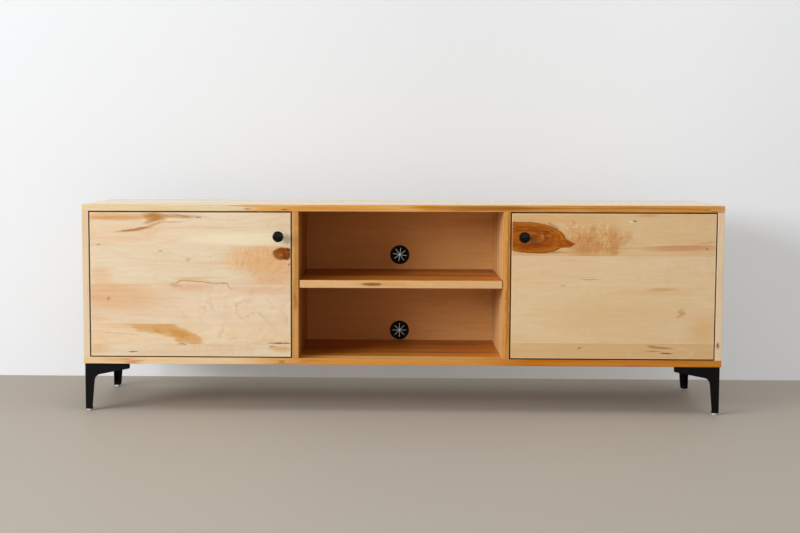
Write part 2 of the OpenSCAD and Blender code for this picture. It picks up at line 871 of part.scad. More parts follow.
top_panel();
bottom_panel();
left_side();
right_side();
left_divider();
right_divider();
back_panel();
case_dowels();
back_screws();
upper_grommet_ring();
upper_grommet_star();
lower_grommet_ring();
lower_grommet_star();
left_door();
right_door();
left_knob();
right_knob();
left_knob_screw();
right_knob_screw();
left_hinge_cups();
right_hinge_cups();
left_hinge_pins();
right_hinge_pins();
left_hinge_arms();
right_hinge_arms();
left_hinge_plates();
right_hinge_plates();
left_plate_screws();
right_plate_screws();
left_cup_screws();
right_cup_screws();
left_catch();
right_catch();
left_catch_magnet();
right_catch_magnet();
catch_screws();
left_strike();
right_strike();
left_strike_screw();
right_strike_screw();
middle_shelf();
left_shelf();
right_shelf();
middle_shelf_pins();
left_shelf_pins();
right_shelf_pins();
front_left_leg();
front_right_leg();
rear_left_leg();
rear_right_leg();
leg_screws();
front_left_glide();
front_right_glide();
rear_left_glide();
rear_right_glide();
glide_bolts();
glide_nuts();
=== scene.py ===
"""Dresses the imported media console: camera, light, floor, wall, and a procedural material for every node.

Positions inside the materials are in millimetres of the part's own frame, as in its source.
"""
import math

import bpy
from mathutils import Matrix, Vector


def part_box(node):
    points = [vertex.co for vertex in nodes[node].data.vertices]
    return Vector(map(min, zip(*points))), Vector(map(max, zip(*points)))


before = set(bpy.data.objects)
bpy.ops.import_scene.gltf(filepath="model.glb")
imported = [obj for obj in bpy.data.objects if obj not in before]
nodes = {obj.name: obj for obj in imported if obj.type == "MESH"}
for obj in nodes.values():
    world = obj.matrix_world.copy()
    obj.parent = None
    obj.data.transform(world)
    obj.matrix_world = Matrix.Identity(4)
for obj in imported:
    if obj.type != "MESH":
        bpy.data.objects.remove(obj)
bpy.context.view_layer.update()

scene = bpy.context.scene

# Camera, as fitted to the photograph, in metres and radians
CAMERA_AT = (-0.03078, -4.0302, 0.74395)
CAMERA_HEADING = 0.02979
CAMERA_TILT = 1.4872563
CAMERA_ROLL = 0.00179
FOCAL_PX = 1345.52
PHOTO_W = 800
SENSOR_MM = 36
AXIS_LEFT_OF_MIDDLE_PX = 50


def make_camera():
    data = bpy.data.cameras.new("camera")
    data.sensor_width = SENSOR_MM
    data.lens = FOCAL_PX / PHOTO_W * SENSOR_MM
    data.shift_x = AXIS_LEFT_OF_MIDDLE_PX / PHOTO_W
    camera = bpy.data.objects.new("camera", data)
    scene.collection.objects.link(camera)
    turn = (Matrix.Rotation(CAMERA_HEADING, 4, "Z") @ Matrix.Rotation(CAMERA_TILT, 4, "X")
            @ Matrix.Rotation(CAMERA_ROLL, 4, "Z"))
    camera.matrix_world = Matrix.Translation(CAMERA_AT) @ turn
    scene.camera = camera


# Nodes
WHITE = (1, 1, 1, 1)
MM_PER_M = 1000
GIVES_VALUE = ("LENGTH", "DOT_PRODUCT")
NOISE_MIDDLE = (0.5, 0.5, 0.5)
NOISE_RANGE = (0.3, 0.7)   # what a noise mostly lies between
DRIFT_ROUGHNESS = 0.6
LINE_FULL = 0.25           # share of its half width within which a line is full


def rgb(code):
    """A hex colour as the eye sees it, in the linear values that shaders use."""
    parts = [int(code[i:i + 2], 16) / 255 for i in (0, 2, 4)]
    return [p / 12.92 if p <= 0.04045 else ((p + 0.055) / 1.055) ** 2.4 for p in parts] + [1.0]


class Nodes:
    """A node tree. Most methods add one node or a few, and return what they give."""

    def __init__(self, tree):
        self.tree = tree
        self.tree.nodes.clear()

    def add(self, kind, **settings):
        node = self.tree.nodes.new(kind)
        for key, value in settings.items():
            setattr(node, key, value)
        return node

    def plug(self, socket, value):
        """Links an output to the socket, or sets the socket to a plain value."""
        if isinstance(value, bpy.types.NodeSocket):
            self.tree.links.new(value, socket)
        elif value is not None:
            socket.default_value = value

    def math(self, operation, *values):
        node = self.add("ShaderNodeMath", operation=operation)
        for socket, value in zip(node.inputs, values):
            self.plug(socket, value)
        return node.outputs[0]

    def times(self, value, *factors):
        for factor in factors:
            value = self.math("MULTIPLY", value, factor)
        return value

    def vector(self, operation, *values, **named):
        node = self.add("ShaderNodeVectorMath", operation=operation)
        for socket, value in zip(node.inputs, values):
            self.plug(socket, value)
        for key, value in named.items():
            self.plug(node.inputs[key], value)
        return node.outputs["Value" if operation in GIVES_VALUE else "Vector"]

    def split(self, value):
        node = self.add("ShaderNodeSeparateXYZ")
        self.plug(node.inputs[0], value)
        return node.outputs

    def join(self, x, y, z):
        node = self.add("ShaderNodeCombineXYZ")
        for socket, value in zip(node.inputs, (x, y, z)):
            self.plug(socket, value)
        return node.outputs[0]

    def noise(self, place, size, detail=2, rough=0.5, warp=0.0, colour=False):
        """Noise with features of that size in millimetres, one number or one for each axis."""
        if not isinstance(size, (int, float)):
            place, size = self.vector("DIVIDE", place, size), 1
        node = self.add("ShaderNodeTexNoise")
        for key, value in (("Vector", place), ("Scale", 1 / size), ("Detail", detail),
                           ("Roughness", rough), ("Distortion", warp)):
            self.plug(node.inputs[key], value)
        return node.outputs["Color" if colour else 0]

    def span(self, value, low, high, to_low=0.0, to_high=1.0, smooth=True):
        """Maps low..high to to_low..to_high and holds the ends."""
        node = self.add("ShaderNodeMapRange", interpolation_type="SMOOTHSTEP" if smooth else "LINEAR")
        for socket, given in zip(node.inputs, (value, low, high, to_low, to_high)):
            self.plug(socket, given)
        return node.outputs[0]

    def uneven(self, noise, low, high):
        """From low to high, as the noise goes."""
        return self.span(noise, *NOISE_RANGE, low, high)

    def mix(self, factor, a, b):
        node = self.add("ShaderNodeMix", data_type="RGBA")
        sockets = [s for s in node.inputs if s.enabled]
        for socket, value in zip(sockets, (factor, a, b)):
            self.plug(socket, value)
        return next(s for s in node.outputs if s.enabled)

    def tint(self, under, code, *amounts):
        """under, covered with that hex colour by the product of the amounts."""
        return self.mix(self.times(*amounts), under, rgb(code))

    def shade(self, under, shade, value, *amounts, more=1.0):
        """under, covered with a shade where the value is in the shade's range.

        A shade is a hex colour, the values where it starts and where it is full, and how much it covers.
        """
        code, start, full, cover = shade
        return self.tint(under, code, self.span(value, start, full, 0, cover * more), *amounts)

    def steps(self, value, codes):
        """The hex colour whose number the value holds: 0 is the first."""
        node = self.add("ShaderNodeValToRGB")
        node.color_ramp.interpolation = "CONSTANT"
        count = len(codes)
        for i, code in enumerate(codes):
            stops = node.color_ramp.elements
            stop = stops[i] if i < 2 else stops.new(i / count)
            stop.position = i / count
            stop.color = rgb(code)
        while len(node.color_ramp.elements) > count:
            node.color_ramp.elements.remove(node.color_ramp.elements[-1])
        self.plug(node.inputs[0], self.math("DIVIDE", self.math("ADD", value, 0.5), count))
        return node.outputs[0]

    def turned(self, place, degrees):
        """place, turned about the third axis."""
        node = self.add("ShaderNodeVectorRotate", rotation_type="Z_AXIS")
        self.plug(node.inputs["Vector"], place)
        node.inputs["Angle"].default_value = math.radians(degrees)
        return node.outputs[0]

    def away(self, place, at, size, turn=0.0):
        """Distance from the middle of an ellipsoid, turned in the board's face: 1 on its surface."""
        from_it = self.vector("SUBTRACT", place, at)
        if turn:
            from_it = self.turned(from_it, -turn)
        return self.vector("LENGTH", self.vector("DIVIDE", from_it, size))

    def inside(self, place, at, size, turn, soft):
        """1 within an ellipsoid of those half sizes, and 0 outside."""
        return self.span(self.away(place, at, size, turn), 1 + soft, 1 - soft)

    def drifted(self, place, size, reach, detail=3):
        """place, moved about by a noise of that size and reach in millimetres."""
        noise = self.noise(place, size, detail, DRIFT_ROUGHNESS, colour=True)
        drift = self.vector("SUBTRACT", noise, NOISE_MIDDLE)
        return self.vector("MULTIPLY_ADD", drift, reach, place)

    def band(self, value, middle, half, amount):
        """amount where value is at middle, and nothing half away from it."""
        from_middle = self.math("ABSOLUTE", self.math("SUBTRACT", value, middle))
        return self.span(from_middle, half, half * LINE_FULL, 0, amount)

    def seen(self, *ways):
        """1 for what the camera sees, directly or in one of those ways, and 0 for light on its way."""
        path = self.add("ShaderNodeLightPath").outputs
        most = path["Is Camera Ray"]
        for way in ways:
            most = self.math("MAXIMUM", most, path[f"Is {way} Ray"])
        return most


class Material(Nodes):
    """One material's nodes. mm is the place in millimetres, and facing the way that the face looks."""

    def __init__(self, name):
        self.material = bpy.data.materials.new(name)
        self.material.use_nodes = True
        super().__init__(self.material.node_tree)
        coords = self.add("ShaderNodeTexCoord")
        self.facing = coords.outputs["Normal"]
        self.mm = self.vector("SCALE", coords.outputs["Object"], Scale=MM_PER_M)

    def looking(self, way, low, high, amount=1.0, both=False):
        """amount on faces that look that way, with both also on those that look the other way, else 0."""
        dot = self.vector("DOT_PRODUCT", self.facing, way)
        return self.span(self.math("ABSOLUTE", dot) if both else dot, low, high, 0, amount)

    def bump(self, height, depth_mm, strength):
        node = self.add("ShaderNodeBump")
        node.inputs["Strength"].default_value = strength
        node.inputs["Distance"].default_value = depth_mm / MM_PER_M
        self.plug(node.inputs["Height"], height)
        return node.outputs[0]

    def finish(self, colour, roughness, normal, coat=None, **constants):
        shader = self.add("ShaderNodeBsdfPrincipled")
        for key, value in (("Base Color", colour), ("Roughness", roughness), ("Normal", normal),
                           ("Coat Weight", coat)):
            self.plug(shader.inputs[key], value)
        for key, value in constants.items():
            shader.inputs[key.replace("_", " ")].default_value = value
        return self.show(shader.outputs[0])

    def show(self, surface):
        self.tree.links.new(surface, self.add("ShaderNodeOutputMaterial").inputs[0])
        return self.material


# How the boards lie: which of x, y, z runs along the grain, across the boards and into them
FRONT = ("X", "Z", "Y")
FLAT = ("X", "Y", "Z")
UPRIGHT = ("Z", "Y", "X")

# Where the boards are along their third axis: a door's front, a shelf's top, about the others' middle
DOOR_FACE = -201.5
SHELF_TOP = 383
TOP_MIDDLE = 590
BOTTOM_MIDDLE = 150
SIDE_MIDDLE = 905
DIVIDER_MIDDLE = 302

# The front edges of the case and of the shelf, and how far the open bay reaches with its walls and top
FRONT_EDGE = -201.5
SHELF_FRONT = -198.5
BAY_HALF = 311
BAY_TOP = 590

# The wood's noises: size along the boards, across and into them, detail, roughness and warp
CLOUDS = ((380, 60, 60), 3, 0.55, 0.6)
MOTTLE = ((58, 26, 26), 3, 0.6, 0.8)
STREAKS = ((150, 6, 6), 4, 0.6, 0.3)
FIBRES = ((14, 0.55, 0.55), 2, 0.6)
FLECKS = ((9, 1.6, 1.6), 1)
RIPPLES = ((22, 60, 50), 3, 0.6, 1.8)
RIPPLED_PLACES = ((170, 90, 90), 1)
RIPPLED_FROM_TO = (0.5, 0.75)

# The wood's shades: colour, where in the noise it starts and where it is full, and how much it covers
AMBER = ("D9964A", 0.42, 0.75, 0.30)
MOTTLE_DARK = ("D8A478", 0.5, 0.75, 0.16)
MOTTLE_LIGHT = ("EFDDBE", 0.45, 0.25, 0.22)
STREAK_DARK = ("C98F55", 0.45, 0.8, 0.18)
FIBRE_DARK = ("B58250", 0.35, 0.7, 0.10)
FLECK_DARK = ("8A5222", 0.66, 0.78, 0.10)
RIPPLE_DARK = ("C99A62", 0.5, 0.7, 0.14)
RIPPLE_LIGHT = ("F2E0C0", 0.5, 0.3, 0.14)

# Growth rings, round a pith that lies under the board
PITH_WANDER = ((260, 90, 90), 2)
PITH_WANDER_MM = 60
RING_FLATNESS = 0.55            # what a millimetre across the boards counts for in the rings
RING_TURN_PER_MM = 0.6
RING_COLOUR = "A86F3C"
RING_COVER = 0.05
RING_SHOWS = (0.1, 1.0)         # of the wave that makes the rings
RING_RELIEF = 0.5               # in heights of the fibres

# How a board differs from the next
BOARD_SHIFT = (900, 300, 300)   # how far apart two boards' grain can be
SEED_SHIFT = 0.37               # keeps the seed of each board off a whole number

# Glue joints, end grain, eased edges with painted shade of the door gaps and a painted highlight beside them,
# and gloss
SEAM_MM = 0.6
SEAM_COLOUR = "8A5222"
SEAM_COVER = 0.12
SEAM_DEPTH = 1.5                # in heights of the fibres
END_GRAIN = "B98348"
END_GRAIN_COVER = 0.35
EASED_MM = 1.3                  # how far a door's eased edge reaches into its face
EASED_FULL = 0.4                # share of that within which it is full
# Painted shade: a door's eased edge is painted dark, so the gap round the door reads darker and wider
GAP_SHADE_COLOUR = "5E3208"
GAP_SHADE_COVER = 0.90
EASED_ROUGHNESS = 0.6
# Painted highlight: a pale line just inside a door's eased edge, where its rounding would catch the light
EDGE_HIGHLIGHT = "F2DDB8"
EDGE_HIGHLIGHT_MM = 3 * EASED_MM
EDGE_HIGHLIGHT_COVER = 0.35
WOOD_SPECULAR = 0.11
WOOD_UNEVEN = (-0.05, 0.06)     # added to the roughness, as the streaks go
RELIEF_STRENGTH = 0.6
COAT_ROUGHNESS = 0.22
FACING_SOFTLY = (0.6, 0.9)      # cosines between which a face comes to count as looking some way
FACING_SHARPLY = (0.5, 0.6)

# Figures, and how far their edges wander: the size of the waves, and their reach
DEEP_MM = 40                    # how far a figure reaches into its board
WIDE_MM = 8                     # half width above which a figure keeps to its board
GRAINY = (0.7, 1.0)             # their cover, as the streaks go
WIDE_GRAIN = ((34, 14, 14), (46, 15, 15))
THIN_GRAIN = ((9, 4, 4), (9, 4, 4))
EDGE_GRAIN = ((240, 9, 9), (300, 12, 12))   # on a front edge, drawn out along the grain

# Curly grain
CURL_EDGE = ((40, 25, 25), (60, 30, 25))
CURL_SOFT = 0.35
CURL_LENGTH = 3.5               # of a stroke across the boards, in its widths
CURL_DEPTH = 2.8
CURL_NOISE = (3, 0.6, 1.9)      # detail, roughness and warp
CURL_DARK = ("AE6E2C", 0.52, 0.64, 0.50)
CURL_LIGHT = ("F2D4A0", 0.48, 0.38, 0.70)

# Quilted grain
QUILT_EDGE = ((50, 40, 40), (60, 50, 40))
QUILT_SOFT = 0.4
QUILT_DEEP_MM = 160             # how far it reaches into its board
QUILT_BENDS = ((46, 38, 40), (52, 46, 30), 2)
QUILT_LAND = ((110, 150, 120), 1, 0.35, 0.2)   # the noise that is cut into terraces
QUILT_FADES = ((26, 34, 45), 1)                # the noise that hides their lines in places
QUILT_SHOWS = (0.44, 0.64)
TERRACES = 8
TERRACE_FOOT = (0.78, 0.99)
TERRACE_END = (1.0, 0.985)
TERRACE_LIGHT = "EFDCBF"
TERRACE_COVER = 0.30
CONTOUR = "A87C4E"

# Heartwood. Distances are shares of the way out from its middle
HEART_EDGE = ((22, 10, 10), (16, 9, 9))
HEART_BLEND = 0.14              # how softly its ovals run together
HEART_STREAKS = ((52, 4.5, 4.5), 3, 0.6, 0.4)
HEART_CLOUDS = ((80, 16, 16), 2)
HEART_WAVES = 11                # how often the streaks repeat on the way out
HEART_SWIRL = 15                # and how much they follow the grain
HEART_BROAD = ("B06410", 0.35, 0.65, 0.7)
HEART_DARK = ("763202", 0.1, 1.0, 0.55)
HEART_LIGHT = ("BE7018", -0.4, -1.0, 0.35)
HEART_RING = "6E3004"
HEART_RINGS = ((0.46, 0.05, 0.55), (0.66, 0.035, 0.55), (0.82, 0.03, 0.55))
HEART_PALE_RING = (0.88, 0.10, 0.40)   # like the others: distance, half width and cover
HEART_RIM = (0.985, 0.05, 0.8)
HEART_PATCHES = (0.4, 0.6, 0.35, 1.0)  # the rings' cover, as the clouds go
HEART_HALO = ("CF9450", 1.35, 1.0, 0.35)
HEART_END = (1.04, 0.97)


def along_axis(letter, length=1.0):
    """A vector of that length along x, y or z."""
    return [length if axis == letter else 0.0 for axis in "XYZ"]


class Boards(Material):
    """Edge-glued boards that lie as lie says. face is where they are along their third axis.

    place is where a point is along the grain, across the boards and into them. In moved, each board's
    grain has its own shift.
    """

    def __init__(self, name, lie, face, joints, seed, figure_grain):
        super().__init__(name)
        self.face, self.joints = face, joints
        axes = dict(zip("XYZ", self.split(self.mm)))
        self.place = self.join(*(axes[axis] for axis in lie))
        self.along, self.across, _ = self.split(self.place)
        self.board = 0.0
        for joint in joints:
            self.board = self.math("ADD", self.board, self.math("GREATER_THAN", self.across, joint))
        pick = self.add("ShaderNodeTexWhiteNoise", noise_dimensions="1D")
        self.plug(pick.inputs["W"], self.math("ADD", self.board, seed + SEED_SHIFT))
        self.moved = self.vector("MULTIPLY_ADD", pick.outputs["Color"], BOARD_SHIFT, self.place)
        self.streaks = self.noise(self.moved, *STREAKS)
        self.fibres = self.noise(self.moved, *FIBRES)
        self.rings = self.growth_rings()
        self.grainy = self.uneven(self.streaks, *GRAINY)
        self.bent = self.drifted(self.place, *figure_grain)
        self.close = self.drifted(self.place, *THIN_GRAIN)

    def growth_rings(self):
        """Lines round a pith that lies under the board and wanders."""
        wander = self.math("SUBTRACT", self.noise(self.moved, *PITH_WANDER), 0.5)
        wander = self.times(wander, PITH_WANDER_MM)
        _, sideways, inward = self.split(self.moved)
        from_pith = self.join(self.math("ADD", self.times(sideways, RING_FLATNESS), wander),
                              self.math("ADD", inward, wander), 0)
        turns = self.times(self.vector("LENGTH", from_pith), RING_TURN_PER_MM)
        return self.span(self.math("SINE", turns), *RING_SHOWS)

    def own(self, across, half_w=DEEP_MM):
        """1 on the board that holds that place across the grain, and everywhere for a thin mark."""
        if not self.joints or half_w <= WIDE_MM:
            return 1.0
        return self.math("COMPARE", self.board, float(sum(across > joint for joint in self.joints)), 0.5)

    def seams(self):
        """1 on the hairline glue joints."""
        seam = 0.0
        for joint in self.joints:
            near = self.math("ABSOLUTE", self.math("SUBTRACT", self.across, joint))
            seam = self.math("MAXIMUM", seam, self.span(near, SEAM_MM, SEAM_MM * LINE_FULL))
        return seam

    def arris(self, slab, wide):
        """1 on a slab's edges and on their eased corners, and 0 further into its face than wide."""
        middle, half = slab
        from_middle = self.vector("ABSOLUTE", self.vector("SUBTRACT", self.place, middle))
        along, across, _ = self.split(self.vector("SUBTRACT", half, from_middle))
        return self.span(self.math("MINIMUM", along, across), wide, wide * EASED_FULL)


def toned(t, tones, bay):
    """Each board's base colour, with darker tones in the open bay as painted shade, and the front edge's tone
    taken from the same list.
    """
    colour = t.steps(t.board, tones)
    if not bay:
        return colour
    looks, reach, shaded_and_edge_tones = bay
    in_bay = t.math("LESS_THAN", t.math("ABSOLUTE", t.along), reach)
    on_face = t.times(t.looking(looks, *FACING_SHARPLY), in_bay)
    on_edge = t.looking((0, -1, 0), *FACING_SHARPLY)
    return t.mix(t.math("MAXIMUM", on_face, on_edge), colour, t.steps(t.board, shaded_and_edge_tones))


def maple(t, colour, contrast):
    """Broad clouds, mottling, streaks, rings and fibres, and faint ripples across the boards in places."""
    mottle = t.noise(t.moved, *MOTTLE)
    colour = t.shade(colour, AMBER, t.noise(t.moved, *CLOUDS), more=contrast)
    colour = t.shade(colour, MOTTLE_DARK, mottle)
    colour = t.shade(colour, MOTTLE_LIGHT, mottle)
    colour = t.shade(colour, STREAK_DARK, t.streaks, more=contrast)
    colour = t.tint(colour, RING_COLOUR, t.rings, RING_COVER * contrast)
    colour = t.shade(colour, FIBRE_DARK, t.fibres)
    colour = t.shade(colour, FLECK_DARK, t.noise(t.moved, *FLECKS))

    rippled = t.span(t.noise(t.moved, *RIPPLED_PLACES), *RIPPLED_FROM_TO)
    ripple = t.noise(t.moved, *RIPPLES)
    colour = t.shade(colour, RIPPLE_DARK, ripple, rippled)
    return t.shade(colour, RIPPLE_LIGHT, ripple, rippled)


def curly(t, colour, x, z, half_l, half_w, turn, code, strength, wide, bold):
    """Curly grain: short strokes across the boards, darker and lighter."""
    there = t.inside(t.drifted(t.place, *CURL_EDGE), (x, z, t.face),
                     (half_l, half_w, DEEP_MM), 0, CURL_SOFT)
    there = t.times(there, t.own(z))
    size = (wide, wide * CURL_LENGTH, wide * CURL_DEPTH)
    strokes = t.noise(t.turned(t.moved, turn), size, *CURL_NOISE)
    colour = t.tint(colour, code, there, strength)
    colour = t.shade(colour, CURL_DARK, strokes, there, more=bold)
    return t.shade(colour, CURL_LIGHT, strokes, there, more=bold)


def quilted(t, colour, x, z, half_l, half_w, strength):
    """Quilted grain: terraces, each with a thin dark line at its foot."""
    there = t.inside(t.drifted(t.place, *QUILT_EDGE), (x, z, t.face),
                     (half_l, half_w, QUILT_DEEP_MM), 0, QUILT_SOFT)
    land = t.noise(t.drifted(t.moved, *QUILT_BENDS), *QUILT_LAND)
    terrace = t.math("FRACT", t.times(land, TERRACES))
    foot = t.times(t.span(terrace, *TERRACE_FOOT), t.span(terrace, *TERRACE_END))
    fades = t.span(t.noise(t.place, *QUILT_FADES), *QUILT_SHOWS)
    colour = t.tint(colour, CONTOUR, foot, there, fades, strength)
    return t.tint(colour, TERRACE_LIGHT, t.math("SUBTRACT", 1.0, terrace), there, TERRACE_COVER)


def drawn(t, colour, x, z, half_l, half_w, turn, soft, code, strength, deep_at=None, half_deep=DEEP_MM):
    """A patch, a smear or a crack, with edges that wander."""
    at = (x, z, t.face if deep_at is None else deep_at)
    spot = t.inside(t.bent if half_w > WIDE_MM else t.close, at, (half_l, half_w, half_deep), turn, soft)
    return t.tint(colour, code, spot, strength, t.grainy, t.own(z, half_w))


def heartwood(t, colour, ovals, body, rim):
    """A tongue of heartwood, made of ovals that run together.

    Dark and light streaks run along the grain and bend with the outline, and a dark rim shows in places.
    """
    place = t.drifted(t.place, *HEART_EDGE)
    near = None
    for x, z, half_l, half_w, turn in ovals:
        away = t.away(place, (x, z, t.face), (half_l, half_w, DEEP_MM), turn)
        near = away if near is None else t.math("SMOOTH_MIN", near, away, HEART_BLEND)
    streak = t.noise(place, *HEART_STREAKS)
    flow = t.math("SINE", t.math("ADD", t.times(near, HEART_WAVES), t.times(streak, HEART_SWIRL)))
    broad = t.noise(place, *HEART_CLOUDS)
    flame = t.shade(rgb(body), HEART_BROAD, broad)
    flame = t.shade(flame, HEART_DARK, flow)
    flame = t.shade(flame, HEART_LIGHT, flow)
    flame = t.tint(flame, HEART_LIGHT[0], t.band(near, *HEART_PALE_RING))
    patchy = t.span(broad, *HEART_PATCHES)
    for ring in HEART_RINGS:
        flame = t.tint(flame, HEART_RING, t.band(near, *ring), patchy)
    flame = t.tint(flame, rim, t.band(near, *HEART_RIM), patchy)

    own = t.own(ovals[0][1])
    colour = t.shade(colour, HEART_HALO, near, own)
    return t.mix(t.times(t.span(near, *HEART_END), own), colour, flame)


def wood(name, lie, face, joints, tones, seed, figures=(), curls=(), hearts=(), quilts=(), marks=(),
         slab=None, bay=None, contrast=1.0, roughness=0.36, coat=0.06, relief_mm=0.06,
         figure_grain=WIDE_GRAIN):
    """Edge-glued maple boards. The sign of face says which way their shown side looks.

    joints are where boards meet, across the grain, and tones their colours, one more than the joints.
    Each of the following starts with where it is, along and across, and its half length and half width.
    Curls, hearts, and the figures and marks wider than WIDE_MM keep to their own board.
    figures: patches, smears and cracks, with turn, softness, colour, strength and, where they don't lie
    at the face, where they are in the board's thickness and how far they reach there.
    curls: where the grain ripples, with turn, colour, strength, and how wide and bold its strokes are.
    hearts: (ovals, body colour, rim colour), each oval with its turn.
    quilts: where the rings show as thin contour lines, with their strength.
    marks: figures that lie over all of these.
    slab: the middle and the half sizes of a door, whose eased edges are painted dark, as painted shade of the
    gap round it, with a painted highlight beside them.
    bay: the way a face of the open bay looks, how far from 0 it reaches along the grain, and the tones there
    and on the front edge, in place of the plainer ones. The tones in the bay are darker, as painted shade;
    the front edge takes its board's tone from them too.
    """
    t = Boards(name, lie, face, joints, seed, figure_grain)
    colour = maple(t, toned(t, tones, bay), contrast)
    for curl in curls:
        colour = curly(t, colour, *curl)
    for quilt in quilts:
        colour = quilted(t, colour, *quilt)
    for figure in figures:
        colour = drawn(t, colour, *figure)
    for heart in hearts:
        colour = heartwood(t, colour, *heart)
    for mark in marks:
        colour = drawn(t, colour, *mark)

    seam = t.seams()
    end = t.looking(along_axis(lie[0]), *FACING_SOFTLY, both=True)
    colour = t.tint(colour, SEAM_COLOUR, seam, SEAM_COVER)
    colour = t.tint(colour, END_GRAIN, end, END_GRAIN_COVER)
    rough = t.math("ADD", t.uneven(t.streaks, *WOOD_UNEVEN), roughness)
    if slab:
        # Painted shade of the gap round the door on its eased edge, and a painted highlight just inside it
        gap_shaded_edge = t.arris(slab, EASED_MM)
        colour = t.tint(colour, EDGE_HIGHLIGHT, t.arris(slab, EDGE_HIGHLIGHT_MM), EDGE_HIGHLIGHT_COVER)
        colour = t.tint(colour, GAP_SHADE_COLOUR, gap_shaded_edge, GAP_SHADE_COVER)
        rough = t.math("ADD", rough, t.times(gap_shaded_edge, EASED_ROUGHNESS))

    height = t.math("ADD", t.fibres, t.times(t.rings, RING_RELIEF))
    height = t.math("SUBTRACT", height, t.times(seam, SEAM_DEPTH))
    shown = t.looking(along_axis(lie[2], math.copysign(1, face)), *FACING_SOFTLY, coat)
    return t.finish(colour, rough, t.bump(height, relief_mm, RELIEF_STRENGTH), shown,
                    Coat_Roughness=COAT_ROUGHNESS, Specular_IOR_Level=WOOD_SPECULAR)


# Other materials
GRAIN_NOISE = (3, 0.6)            # detail and roughness
BROAD_GRAIN = 28                  # size of the broad noise, in grains
DRAWN_LINES = ((0.5, 0.5, 12), 2, 0.6)
PLATING_CLOUDS = 11
PLATING_UNEVEN = (-0.05, 0.08)
HAZE_MM = 3
HAZE_ROUGHNESS = (0.18, 0.30)

PLY_CLOUDS = ((420, 420, 90), 3, 0.5, 0.8)
PLY_FIBRES = ((30, 0.8, 0.8), 3, 0.6)
PLY_WAVES = ((210, 200, 14), 3, 0.6, 1.2)
# Painted shade: the inside face is darker and deeper orange than the back, and paler towards the right, where
# more light falls; the clouds add a random share
PLY_INSIDE_SHADED = "DC933E"
PLY_LIT_RIGHT = "F4C27C"
PLY_LIT_FROM_TO = (-220, 310)   # across the bay
PLY_LIT_BY_PLACE = 0.8          # how much of it the place decides, and the clouds
PLY_PALER_BY_CLOUDS = 0.2
PLY_BACK = "E2C496"
PLY_BACK_SHADE = "D4B27E"
PLY_BACK_FACING = (0.4, 0.6)      # cosines, as for the wood
PLY_WAVE_DARK = ("A0621C", 0.45, 0.7, 0.14)
PLY_FIBRE_DARK = ("8F5A24", 0.4, 0.7, 0.10)
PLY_EDGE = "7A4E2A"
PLY_EDGE_COVER = 0.6
PLY_EDGE_FACING = (0.7, 0.4)
PLY_TURN_PER_MM = 2.62            # of the wave that paints the plies
PLY_SHOWS = (-0.3, 0.3)           # of that wave
PLY_ROUGHNESS = (0.42, 0.52)
PLY_SPECULAR = 0.25


def speckled(name, colour, other, grain_mm, roughness, bump_mm, spread=0.08, **constants):
    """A plain finish with a fine grain: two close colours, uneven gloss and a shallow bump."""
    t = Material(name)
    fine = t.noise(t.mm, grain_mm, *GRAIN_NOISE)
    broad = t.noise(t.mm, grain_mm * BROAD_GRAIN)
    colour = t.tint(rgb(colour), other, t.math("ADD", t.times(fine, 0.5), t.times(broad, 0.5)))
    rough = t.math("ADD", t.uneven(broad, -spread, spread), roughness)
    return t.finish(colour, rough, t.bump(fine, bump_mm, strength=0.5), **constants)


def brushed(name, colour, other, roughness):
    """Plated steel with a faint drawn grain along Z."""
    t = Material(name)
    lines = t.noise(t.mm, *DRAWN_LINES)
    colour = t.tint(rgb(colour), other, t.noise(t.mm, PLATING_CLOUDS))
    rough = t.math("ADD", t.uneven(lines, *PLATING_UNEVEN), roughness)
    return t.finish(colour, rough, t.bump(lines, depth_mm=0.01, strength=0.4), Metallic=1.0)


def veneered(name):
    """Maple plywood: a calm rotary-cut face and stripes of ply on its cut edges. Its face towards the bay is
    painted darker than its back, and lighter towards the right: painted shade and light.
    """
    t = Material(name)
    x, y, _ = t.split(t.mm)
    clouds = t.noise(t.mm, *PLY_CLOUDS)
    fibres = t.noise(t.mm, *PLY_FIBRES)
    # Painted shade inside the bay, lighter towards the right as painted light; the back stays pale
    lit_and_clouded = t.math("ADD", t.times(t.span(x, *PLY_LIT_FROM_TO), PLY_LIT_BY_PLACE),
                   t.times(clouds, PLY_PALER_BY_CLOUDS))
    shaded_inside = t.tint(rgb(PLY_INSIDE_SHADED), PLY_LIT_RIGHT, lit_and_clouded)
    outer = t.tint(rgb(PLY_BACK), PLY_BACK_SHADE, clouds)
    colour = t.mix(t.looking((0, 1, 0), *PLY_BACK_FACING), shaded_inside, outer)
    colour = t.shade(colour, PLY_WAVE_DARK, t.noise(t.mm, *PLY_WAVES))
    colour = t.shade(colour, PLY_FIBRE_DARK, fibres)
    plies = t.span(t.math("SINE", t.times(y, PLY_TURN_PER_MM)), *PLY_SHOWS)
    cut_edge = t.looking((0, 1, 0), *PLY_EDGE_FACING, both=True)
    colour = t.tint(colour, PLY_EDGE, cut_edge, plies, PLY_EDGE_COVER)
    rough = t.uneven(fibres, *PLY_ROUGHNESS)
    return t.finish(colour, rough, t.bump(fibres, depth_mm=0.04, strength=0.5),
                    Specular_IOR_Level=PLY_SPECULAR)


def clear_nylon(name):
    t = Material(name)
    haze = t.noise(t.mm, HAZE_MM)
    return t.finish(t.tint(rgb("F6F6F2"), "ECEBE6", haze), t.uneven(haze, *HAZE_ROUGHNESS),
                    t.bump(haze, depth_mm=0.02, strength=0.4), Transmission_Weight=0.2, IOR=1.53)


